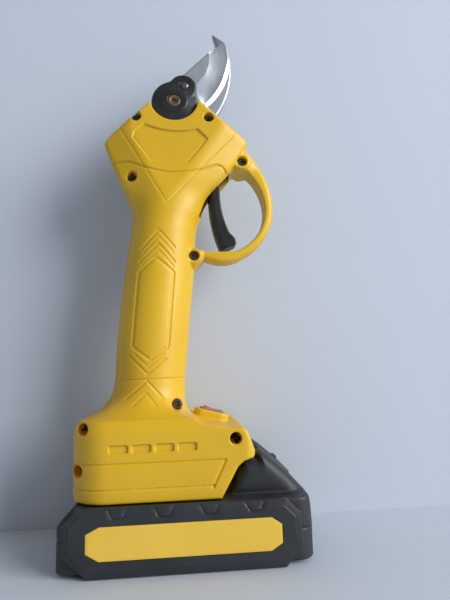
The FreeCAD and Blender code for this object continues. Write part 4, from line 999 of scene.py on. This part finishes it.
def relief_plate(name, outline, creases, face, back, gap, holes=()):
    """A plate over an XZ outline, its face at y = face(x, z), its back flat, mesh lines along its creases."""
    rings = [(spaced(outline, gap, True), True)]
    rings += [(spaced(hole, gap, True), True) for hole in holes]
    rings += [(spaced(line, gap, closed), closed) for line, closed in creases]
    verts, edges = [], []
    for ring, closed in rings:
        start = len(verts)
        verts += ring.tolist()
        n = len(ring)
        edges += [(start + i, start + (i + 1) % n) for i in range(n if closed else n - 1)]
    low, high = np.min(rings[0][0], 0), np.max(rings[0][0], 0)
    gu, gv = np.meshgrid(np.arange(low[0], high[0], gap), np.arange(low[1], high[1], gap * 0.87))
    gu[1::2] += gap / 2
    gu, gv = gu.ravel(), gv.ravel()
    clear = outline_field(gu, gv, outline) < -0.45 * gap
    for hole in holes:
        clear &= outline_field(gu, gv, hole) > 0.45 * gap
    for line, closed in creases:
        clear &= line_distance(gu, gv, line, closed) > 0.45 * gap
    verts += np.column_stack([gu[clear], gv[clear]]).tolist()
    got = delaunay_2d_cdt([Vector(v) for v in verts], edges, [], 0, 1e-5)
    flat = np.array([v[:] for v in got[0]])
    tri = np.array([f[:] for f in got[2]])
    middle = flat[tri].mean(1)
    keep = outline_field(middle[:, 0], middle[:, 1], outline) < 0
    for hole in holes:
        keep &= outline_field(middle[:, 0], middle[:, 1], hole) > 0
    tri = tri[keep]
    used = np.unique(tri)
    remap = -np.ones(len(flat), int)
    remap[used] = np.arange(len(used))
    flat, tri = flat[used], remap[tri]
    n = len(flat)
    front = np.column_stack([flat[:, 0], face(flat[:, 0], flat[:, 1]), flat[:, 1]])
    rear = np.column_stack([flat[:, 0], np.full(n, back), flat[:, 1]])
    directed = np.concatenate([tri[:, [0, 1]], tri[:, [1, 2]], tri[:, [2, 0]]])
    code = {(a, b) for a, b in directed.tolist()}
    border = [(a, b) for a, b in directed.tolist() if (b, a) not in code]
    faces = tri.tolist() + (tri[:, ::-1] + n).tolist()
    faces += [(b, a, a + n) for a, b in border] + [(b, a + n, b + n) for a, b in border]
    thing = add_mesh(name, np.concatenate([front, rear]), faces)
    tidy_normals(thing)
    return thing


def tidy_normals(thing):
    """Turns every face outwards."""
    bm = bmesh.new()
    bm.from_mesh(thing.data)
    bmesh.ops.recalc_face_normals(bm, faces=bm.faces[:])
    bm.to_mesh(thing.data)
    bm.free()


PANEL = np.array([
    (-53.4, 9.5), (-53.4, 22.6), (-47.4, 29.0), (46.6, 29.0), (53.0, 22.6), (53.4, 9.5), (45.5, 0.0),
    (-42.5, 0.0),
])
LABEL = np.array([
    (-43.1, 10.6), (-43.1, 18.8), (-37.0, 21.7), (39.4, 21.7), (44.1, 18.6), (44.1, 10.4), (38.8, 7.2),
    (-37.2, 7.2),
])


def panel_notches():
    """Half-hexagon lines that run in from the panel's top edge."""
    lines = []
    for i in range(4):
        left = -34.5 + 20.4 * i
        lines.append([(left, 30.0), (left + 3.0, 24.4), (left + 7.4, 24.4), (left + 10.6, 30.0)])
    return lines


def panel_face(side):
    """Height of a side panel's face: a bevelled rim, a step, then the flat that holds the label."""
    notches = panel_notches()

    def face(u, v):
        inside = -outline_field(u, v, PANEL)
        rise = np.interp(inside, [0.0, 0.5, 2.4, 2.75, 3.2], [1.3, 0.75, 0.3, 0.3, 0.0])
        pocket = np.where(outline_field(u, v, LABEL) < -0.02, 0.75, 0.0)
        for line in notches:
            pocket = np.maximum(pocket, groove(u, v, line, 0.5, 0.4))
        return side * (38.0 - rise - pocket)

    return face


def battery_panels():
    """The raised side panels and the labels in them."""
    notch_creases = []
    for line in panel_notches():
        first, a, b, last = (np.array(corner) for corner in line)
        clipped = [a + (first - a) * 0.6, a, b, b + (last - b) * 0.6]
        for shift in (-0.5, 0.0, 0.5):
            notch_creases.append(([(u, v + shift) for u, v in clipped], False))
    for side, word in ((-1, "right"), (1, "left")):
        creases = [(offset(PANEL, d), True) for d in (0.5, 2.4, 2.75, 3.2)]
        creases += [(LABEL, True), (offset(LABEL, 0.12), True)] + notch_creases
        thing = relief_plate("panel_" + word, PANEL, creases, panel_face(side), side * 35.22, 1.3)
        finish_piece(thing, "battery", "battery_panel_" + word, 30)
        small = offset(LABEL, 0.2)

        def label_face(u, v, side=side, small=small):
            inside = -outline_field(u, v, small)
            return side * (37.74 + 0.12 * step01(inside / 0.35))

        rim = [(offset(small, 0.35), True)]
        thing = relief_plate("label_" + word, small, rim, label_face, side * 37.3, 1.6)
        finish_piece(thing, "battery", "battery_label_" + word, 30)


# ------------------------ blades

EDGE = curve([
    (17.4, 243.6), ("via", 26.4, 254.4), (31.4, 267.4), ("via", 32.0, 276.0), (28.8, 287.0), (0, 0),
], 14)[:-1]
SPINE_START, TIP = (4.8, 263.5), (28.8, 287.0)
HOLLOW = curve([
    (19.4, 277.0), ("via", 19.2, 270.6), (16.8, 263.9), (11.7, 257.5), ("via", 11.9, 249.0),
    (15.4, 242.2), (0, 0),
], 10)[:-1]


def bevel_line():
    """The line behind the edge where the sharpened bevel ends."""
    points = []
    for i, at in enumerate(EDGE):
        before, after = EDGE[max(i - 1, 0)], EDGE[min(i + 1, len(EDGE) - 1)]
        along = (after - before) / np.linalg.norm(after - before)
        share = i / (len(EDGE) - 1)
        width = 0.8 * min(1.0, (1.0 - share) * 6.0) + 1.3 * step01(2.0 - 2.4 * share)
        points.append(at + np.array([-along[1], along[0]]) * width)
    return np.array(points[:-1])


BEVEL = bevel_line()


def moving_blade():
    px, pz = PIVOT
    back = [(px - 11.4, pz + 3.0), ("via", px - 6.0, pz + 10.4), SPINE_START, TIP, (0, 0)]
    heel = [(16.4, 240.9), (14.2, 242.3), (9.8, 238.0), ("via", px, pz - 12.0), (px - 11.4, pz + 3.0), (0, 0)]
    outline = [*curve(back, 10)[:-2], *EDGE[::-1], *curve(heel, 14)[:-2]]
    hollow_zone = np.concatenate([HOLLOW, [(14.2, 242.3), (17.5, 242.5)], EDGE[1:-1], [TIP, (24.4, 283.0)]])

    def face(u, v):
        edge = line_distance(u, v, EDGE)
        bevel = line_distance(u, v, BEVEL)
        wall = line_distance(u, v, HOLLOW)
        zone = outline_field(u, v, hollow_zone) < -1e-3
        beyond = outline_field(u, v, np.concatenate([EDGE, BEVEL[::-1]])) < 1e-3
        t = np.clip(bevel / np.maximum(bevel + wall, 1e-6), 0, 1)
        ground = 1.5 + 1.9 * t**1.7
        ground = np.where(beyond, 0.45 + 1.05 * np.clip(edge / np.maximum(edge + bevel, 1e-6), 0, 1), ground)
        thick = np.where(zone | beyond, ground, 4.0)
        rim = np.clip(line_distance(u, v, [SPINE_START, TIP]) / 0.5, 0, 1)
        return -(0.05 + np.minimum(thick, 3.5 + 0.5 * rim))

    creases = [(BEVEL, False), (HOLLOW, False), (HOLLOW + np.array([0.22, -0.05]), False)]
    thing = relief_plate("blade_moving", outline, creases, face, -0.05, 0.8, [circle(*PIVOT, 4.05, 32)])
    strip = np.concatenate([EDGE, BEVEL[::-1]])
    return finish_piece(thing, "blade", "moving_blade", 24, [
        # the hollow grind gets the darker steel, painted dark for its dark reflections
        ("ground", lambda c: (outline_field(c[:, 0], c[:, 2], hollow_zone) < 0) & (c[:, 1] < -0.5)),
        ("honed", lambda c: (outline_field(c[:, 0], c[:, 2], strip) < 0) & (c[:, 1] < -0.2)),
    ])


def fixed_blade():
    px, pz = PIVOT
    outline = curve([
        (-20.0, 236.0), (-11.0, 244.5), ("via", -1.0, 251.0), (9.0, 248.0), ("via", 20.6, 262.0),
        (24.4, 285.6),
        (22.2, 294.2), (29.7, 288.2), ("via", 32.7, 266.0), (22.0, 237.2), (19.0, 230.0), (9.0, 230.0),
        ("via", px, pz - 11.4), (-12.0, 230.0), (-20.0, 230.0),
    ], 14)
    tip = [(18.0, 284.0), (33.0, 284.0), (33.0, 298.0), (18.0, 298.0)]

    def face(u, v):
        rim = np.clip(-outline_field(u, v, outline) / 0.8, 0, 1)
        return 0.05 + 0.45 * (1 - rim) + 0.12 * np.clip(v - 284.0, 0, 10.0)

    holes = [circle(*PIVOT, 4.05, 32), circle(-15.6, 233.4, 3.1, 24), circle(14.2, 234.0, 3.1, 24)]
    creases = [(offset(outline, 0.8), True), ([(25.4, 284.0), (30.4, 284.0)], False)]
    thing = relief_plate("blade_hook", outline, creases, face, 4.85, 0.9, holes)
    return finish_piece(thing, "housing", "fixed_blade", 24, [
        # painted shade: the hook's tip, which lies in shade, gets the darker steel
        ("ground", lambda c: (outline_field(c[:, 0], c[:, 2], tip) < 0) & (c[:, 1] < 2.0)),
    ])


# ------------------------ pivot cap, bolt, screws

LOBE = (3.4, 247.8, 7.7)  # x, z and radius
CAP_SCREW = (LOBE[0] + 1.0, LOBE[1] + 0.9)


def cap_field(p):
    px, pz = PIVOT
    r = np.hypot(p[:, 0] - px, p[:, 2] - pz)
    crown = np.interp(r, [0, 7.1, 7.4, 12.9], [-15.5, -15.5, -15.05, -13.5])
    disc = smax(r - 12.9, crown - p[:, 1], 1.0)
    lobe_r = np.hypot(p[:, 0] - LOBE[0], p[:, 2] - LOBE[1]) - LOBE[2]
    lobe = smax(lobe_r, -14.2 - p[:, 1], 1.2)
    d = smin(disc, lobe, 0.9)
    d = smax(d, p[:, 1] + 8.85, 0.4)
    d = cut(d, 0.4, rod_y_field(p, px, pz, 9.6, -12.8, -8.0))
    return cut(d, 0.5, rod_y_field(p, px, pz, 3.75), rod_y_field(p, *CAP_SCREW, 2.62, -40, -12.6))


def field_piece(name, node, body, field, low, high, step):
    """A finished small piece straight from a field."""
    thing = add_mesh(name, *field_mesh(field, low, high, step, finest=0.25))
    tidy_normals(thing)
    finish_piece(thing, body, node)


def lathe(profile, place, steps):
    """Points and faces of a turned shape: (radius, distance) pairs round an axis along Y through a place."""
    points, faces = [], []
    n = len(profile)
    for s in range(steps):
        a = 2 * math.pi * s / steps
        c, d = math.cos(a), math.sin(a)
        points += [(place[0] + r * c, place[1] + along, place[2] + r * d) for r, along in profile]
    for s in range(steps):
        for i in range(n):
            a, b = s * n + i, s * n + (i + 1) % n
            c, d = ((s + 1) % steps) * n + (i + 1) % n, ((s + 1) % steps) * n + i
            faces.append((a, b, c, d))
    return points, faces


def thread_profile(start, end, radius, depth, pitch):
    """Zigzag of a rolled thread along a shank."""
    out = []
    at = start
    while at + pitch < end:
        out += [(radius - depth, at), (radius, at + pitch * 0.35), (radius - depth, at + pitch * 0.7)]
        at += pitch
    return out


def joined(name, parts):
    """One mesh from several sets of points and faces."""
    points, faces = [], []
    for some_points, some_faces in parts:
        start = len(points)
        points += [tuple(p) for p in some_points]
        faces += [tuple(i + start for i in f) for f in some_faces]
    thing = add_mesh(name, points, faces)
    tidy_normals(thing)
    return thing


def screw_head_field(p):
    """A pan head with a cross recess, its bearing face at y = 2.2 and its top at y = 0."""
    r = np.hypot(p[:, 0], p[:, 2])
    dome = 0.32 * (r / 2.6) ** 2.6
    d = smax(r - 2.58, np.maximum(dome - p[:, 1], p[:, 1] - 2.2), 0.5)
    taper = 0.48 - 0.16 * np.clip(p[:, 1], 0, 2)
    reach = 1.5 - 0.55 * np.clip(p[:, 1], 0, 2)
    one = np.maximum(np.abs(p[:, 0]) - reach, np.abs(p[:, 2]) - taper)
    two = np.maximum(np.abs(p[:, 2]) - reach, np.abs(p[:, 0]) - taper)
    cross = np.maximum(smin(one, two, 0.25), p[:, 1] - 1.3)
    return smax(d, -cross, 0.18)


def screws():
    """The housing's nine screws, the same head on two lengths of shank, each turned differently."""
    low, high = (-3, -0.6, -3), (3, 2.8, 3)
    head_points, head_faces = field_mesh(screw_head_field, low, high, 0.24, finest=0.12, bend=22, rounds=1)
    parts = []
    for i, (x, z, face) in enumerate(SCREWS):
        a = 0.7 + 1.3 * i
        turned = head_points.copy()
        turned[:, 0] = head_points[:, 0] * math.cos(a) - head_points[:, 2] * math.sin(a) + x
        turned[:, 2] = head_points[:, 0] * math.sin(a) + head_points[:, 2] * math.cos(a) + z
        turned[:, 1] += face
        length = 14.0 if i in (3, 4) else 22.0
        profile = [(0.0001, 2.0), (1.2, 2.0)] + thread_profile(3.0, length - 1.0, 1.44, 0.3, 1.25)
        profile += [(0.5, length - 0.2), (0.0001, length)]
        parts += [(turned, head_faces), lathe(profile, (x, face, z), steps=16)]
    thing = joined("screws_housing", parts)
    return finish_piece(thing, "housing", "housing_screws", 30)


def pivot_hardware():
    px, pz = PIVOT
    front = -15.5
    profile = [(0.0001, 2.2), (1.35, 2.2), (1.5, 0.9), (1.7, 0.62), (2.3, 0.5), (2.5, 0.42), (3.2, 0.42),
               (3.5, 0.55), (3.58, 0.8), (3.58, 6.8), (3.98, 6.8), (3.98, 33.6), (3.6, 34.0), (0.0001, 34.0)]
    thing = joined("bolt_pivot", [lathe(profile, (px, front, pz), steps=48)])
    finish_piece(thing, "housing", "pivot_bolt", 30)
    x, z = CAP_SCREW
    profile = [(0.0001, 0.35), (0.9, 0.42), (1.7, 0.66), (2.3, 1.05), (2.52, 1.5), (2.52, 2.4),
               (1.48, 2.4), (1.48, 6.8), (0.0001, 6.9)]
    thing = joined("screw_cap", [lathe(profile, (x, front, z), steps=40)])
    finish_piece(thing, "blade", "cap_screw", 40)


# ------------------------ trigger, switch, release button

TRIGGER = curve([
    (14.6, 203.0), (15.4, 203.8), (20.6, 203.8), (21.4, 203.0), (23.6, 192.0), ("via", 24.5, 176.0),
    (28.2, 164.4), (31.2, 161.2), (31.8, 158.4), (30.6, 157.2), (24.0, 154.6), (22.6, 154.9),
    ("via", 18.6, 168.0), (16.8, 184.0), (14.6, 196.0),
], 10)


TRIGGER_REAR = [(14.6, 203.0), (14.6, 196.0), (16.8, 184.0), (18.6, 168.0), (20.6, 161.0), (22.9, 154.6)]


def trigger_field(p):
    x, y, z = p.T
    d = slab_field(p, TRIGGER, 5.5, 1.0)
    rear = line_distance(x, z, TRIGGER_REAR)
    d = smax(d, (np.abs(y) - 3.9 - 0.6 * rear) * 0.86, 0.25)
    slot = rod_y_field(p, *TRIGGER_PIN, 4.4, -2.6, 2.6)
    slot = np.minimum(slot, box_field(p, (9.5, -2.6, 196.1), (17.5, 2.6, 206.5)))
    seat = np.maximum(np.hypot(y, z - 190.0) - 2.05, np.maximum(x - 18.2, 14.0 - x))
    return cut(cut(d, 0.3, slot), 0.2, rod_y_field(p, *TRIGGER_PIN, 1.55), seat)


def release_spring():
    """The coil spring under the release button, with a mesh of its own."""
    foot, height, turns, radius, wire = (44.0, 0.0, 29.1), 7.4, 7.4 / 1.7, 3.3, 0.35
    rings, around = 140, 12
    points = []
    for i in range(rings + 1):
        a = 2 * math.pi * turns * i / rings
        for j in range(around):
            b = 2 * math.pi * j / around
            reach = radius + wire * math.cos(b)
            up = height * i / rings + wire * math.sin(b)
            points.append((foot[0] + reach * math.cos(a), foot[1] + reach * math.sin(a), foot[2] + up))
    faces = [tuple(range(around))[::-1], tuple(range(rings * around, (rings + 1) * around))]
    for i in range(rings):
        for j in range(around):
            a, b = i * around + j, i * around + (j + 1) % around
            faces.append((a, b, b + around, a + around))
    thing = finish_piece(add_mesh("spring_release", points, faces), "battery", "button_spring", 60)
    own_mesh(thing)


BUTTON = rounded_outline([
    (34.6, 48.2, 1.0), (36.4, 50.4, 2.0), (40.6, 47.4), (50.6, 38.6), (54.2, 34.8, 1.0), (54.2, 33.0),
    (51.6, 33.8), (48.8, 37.4), (38.6, 42.6), (34.6, 43.6),
])


def button_field(p):
    x, y, z = p.T
    side = outline_field(x, z, BUTTON)
    d = smax(side, np.abs(y) - 9.0, 1.4)
    along = (x - 40.6) * 0.75 - (z - 47.4) * 0.66
    ribbed = (along > 3) & (along < 11.6) & (np.abs(y) < 6.6)
    ribs = np.where(ribbed, 0.4 * np.cos(along * 2 * math.pi / 2.2) ** 8, 0)
    top = step01((side + 1.6) / 0.8)
    d = d + ribs * top
    d = smin(d, box_field(p, (39.4, -4.6, 37.0), (48.6, 4.6, 42.0)), 0.3)
    stem = np.maximum(np.hypot(x - 44.0, y) - 2.4, np.maximum(34.4 - z, z - 38.4))
    return smin(d, stem, 0.3)


def bezel_field(p):
    q = into(ROCKER, p)
    outer = capsule(q[:, 0], q[:, 1], 4.4, 3.1, 2.1)
    d = smax(outer, np.maximum(q[:, 2] - 2.2, 1.42 - q[:, 2]), 0.35)
    d = smin(d, box_field(q, (-5.8, -4.5, -9.0), (5.8, 4.5, 1.6)), 0.2)
    d = smax(d, -box_field(q, (-5.2, -3.6, -4.6), (5.2, 3.6, 6.0)), 0.3)
    return np.maximum(d, -rod_y_field(q, 0, 0, 0.9, -4.2, 4.2))


PADDLE = rounded_outline([
    (-4.7, 0.0, 0.6), (-4.3, 3.3, 0.6), (0.0, 2.2, 4.0), (4.4, 2.5, 0.6), (4.7, -0.6, 0.6), (1.0, -2.4),
    (-1.0, -2.4),
])


def paddle_field(p):
    q = into(ROCKER, p)
    return smin(slab_field(q, PADDLE, 3.3, 0.7), rod_y_field(q, 0, 0, 0.85, -4.1, 4.1), 0.1)


# ------------------------ the CAD's own parts that stay


def smoothing():
    """A modifier group that shades smooth, with edges above an angle left sharp."""
    group = bpy.data.node_groups.new("smooth_by_angle", "GeometryNodeTree")
    for in_out in ("INPUT", "OUTPUT"):
        group.interface.new_socket("Mesh", in_out=in_out, socket_type="NodeSocketGeometry")
    kinds = ("NodeGroupInput", "NodeGroupOutput", "GeometryNodeSetShadeSmooth", "GeometryNodeSetShadeSmooth",
             "GeometryNodeInputMeshEdgeAngle", "FunctionNodeCompare")
    start, end, faces, edges, angle, above = (group.nodes.new(kind) for kind in kinds)
    edges.domain = "EDGE"
    edges.inputs["Shade Smooth"].default_value = False
    above.operation = "GREATER_THAN"
    above.inputs[1].default_value = math.radians(32)
    for a, b in ((start, faces.inputs[0]), (faces, edges.inputs[0]), (angle, above.inputs[0]),
                 (above, edges.inputs["Selection"]), (edges, end.inputs[0])):
        group.links.new(a.outputs[0], b)
    return group


# bevel widths of the CAD parts whose edges are softened
SOFTENED = {"gear_case": 0.5, "pivot_nut": 0.35, "terminal_block": 0.3, "gearbox_housing": 0.3,
            "cell_holders": 0.3}


def dress_nodes():
    """Materials, softened edges and smooth shading on the CAD parts that are shown as they are."""
    group = smoothing()
    for name, thing in nodes.items():
        if thing.hide_render:
            continue
        thing.data.materials.clear()
        thing.data.materials.append(PAINTS[SLOT_OF[name]])
        if name in SOFTENED:
            bevel = thing.modifiers.new("bevel", "BEVEL")
            bevel.width = SOFTENED[name] * MM
            bevel.segments = 2
            bevel.angle_limit = math.radians(35)
        smooth = thing.modifiers.new("smooth", "NODES")
        smooth.node_group = group


# ------------------------ build

housing("housing_near", "housing_right", -1)
housing("housing_far", "housing_left", 1)
screws()
release_spring()
pack_case("case_upper", "battery_upper_case", 1)
pack_case("case_lower", "battery_lower_case", -1)
battery_panels()
moving_blade()
fixed_blade()
pivot_hardware()
for small_piece in (
    ("cap_pivot", "pivot_cap", "blade", cap_field, (-15.4, -16.4, 225.0), (12.4, -8.0, 256.6), 0.45),
    ("trigger_lever", "trigger", "trigger", trigger_field, (13.4, -6.4, 153.4), (33.2, 6.4, 205.0), 0.45),
    ("button_release", "release_button", "release", button_field, (33.4, -10, 32.6), (55.4, 10, 54.2), 0.5),
    ("switch_frame", "rocker_frame", "housing", bezel_field, (4.0, -6.6, 55.0), (23.0, 6.6, 73.0), 0.4),
    ("switch_paddle", "rocker_button", "rocker", paddle_field, (7.5, -4.6, 63.6), (20.4, 4.6, 73.4), 0.35),
):
    field_piece(*small_piece)
dress_nodes()



def plain(name, colour, through=False):
    """A matt pale surface; through lets light and the view from behind pass."""
    made, tree, shader = surface(name)
    tone = mixed(tree, ranged(tree, noise(tree, 3.0), 0.35, 0.65), colour, tuple(0.985 * c for c in colour))
    tree.links.new(tone, shader.inputs["Base Color"])
    shader.inputs["Roughness"].default_value = 0.9
    shader.inputs["Specular IOR Level"].default_value = 0.1
    if through:
        path = add(tree, "LightPath").outputs
        behind = add(tree, "NewGeometry").outputs["Backfacing"]
        hidden = maths(tree, "MAXIMUM", path["Is Shadow Ray"], behind)
        clear = add(tree, "BsdfTransparent")
        mix = add(tree, "MixShader", {0: hidden, 1: shader.outputs[0], 2: clear.outputs[0]})
        tree.links.new(mix.outputs[0], tree.nodes["Material Output"].inputs[0])
    return made


def backdrop(name, up, place, paint):
    """A 6 m square through a place, over X and the axis up."""
    corners = np.zeros((4, 3))
    corners[:, 0], corners[:, up] = (-3, 3, 3, -3), (-3, -3, 3, 3)
    thing = add_mesh(name, corners, [(0, 1, 2, 3)], 1.0)
    thing.location = place
    thing.data.materials.append(paint)
    return thing


def stage():
    """A pale floor under the battery and a pale sheet just behind the tool, as if it lay on a table."""
    floor = backdrop("floor", 1, (0, 0, -0.0004), plain("pale_floor", (0.62, 0.69, 0.80)))
    sheet = backdrop("sheet", 2, (0, 0.0384, 0), plain("pale_sheet", (0.55, 0.61, 0.71), True))


def camera():
    """The camera, low beside the tool and tilted up a little."""
    data = bpy.data.cameras.new("camera")
    data.sensor_width = 36.0
    data.lens = 27.6
    data.clip_start, data.clip_end = 0.01, 20.0
    thing = bpy.data.objects.new("camera", data)
    right = Vector((0.9964, -0.0775, -0.0331)).normalized()
    ahead = Vector((0.0817, 0.9846, 0.1543)).normalized()
    up = right.cross(ahead).normalized()
    right = ahead.cross(up)
    turn = Matrix((right, up, -ahead)).transposed().to_4x4()
    thing.matrix_world = Matrix.Translation(Vector((3.45, -255.0, 86.7)) * MM) @ turn
    bpy.context.scene.collection.objects.link(thing)
    bpy.context.scene.camera = thing


def area_light(name, place, target, size, power, colour):
    data = bpy.data.lights.new(name, "AREA")
    data.shape = "RECTANGLE"
    data.size, data.size_y = size
    data.energy = power
    data.color = colour
    thing = bpy.data.objects.new(name, data)
    thing.location = place
    thing.rotation_mode = "QUATERNION"
    thing.rotation_quaternion = (Vector(target) - Vector(place)).to_track_quat("-Z", "Y")
    bpy.context.scene.collection.objects.link(thing)


def light():
    area_light("key", (2.15, -1.5, 1.0), (0, 0, 0.14), (1.6, 1.6), 80.0, (1.0, 0.98, 0.95))
    world = bpy.data.worlds.new("world")
    bpy.context.scene.world = world
    world.use_nodes = True
    colour, strength = world.node_tree.nodes["Background"].inputs[:2]
    colour.default_value, strength.default_value = (0.96, 0.93, 0.92, 1), 0.27
    bpy.context.scene.view_settings.view_transform = "Standard"


stage()
camera()
light()
bpy.context.view_layer.update()
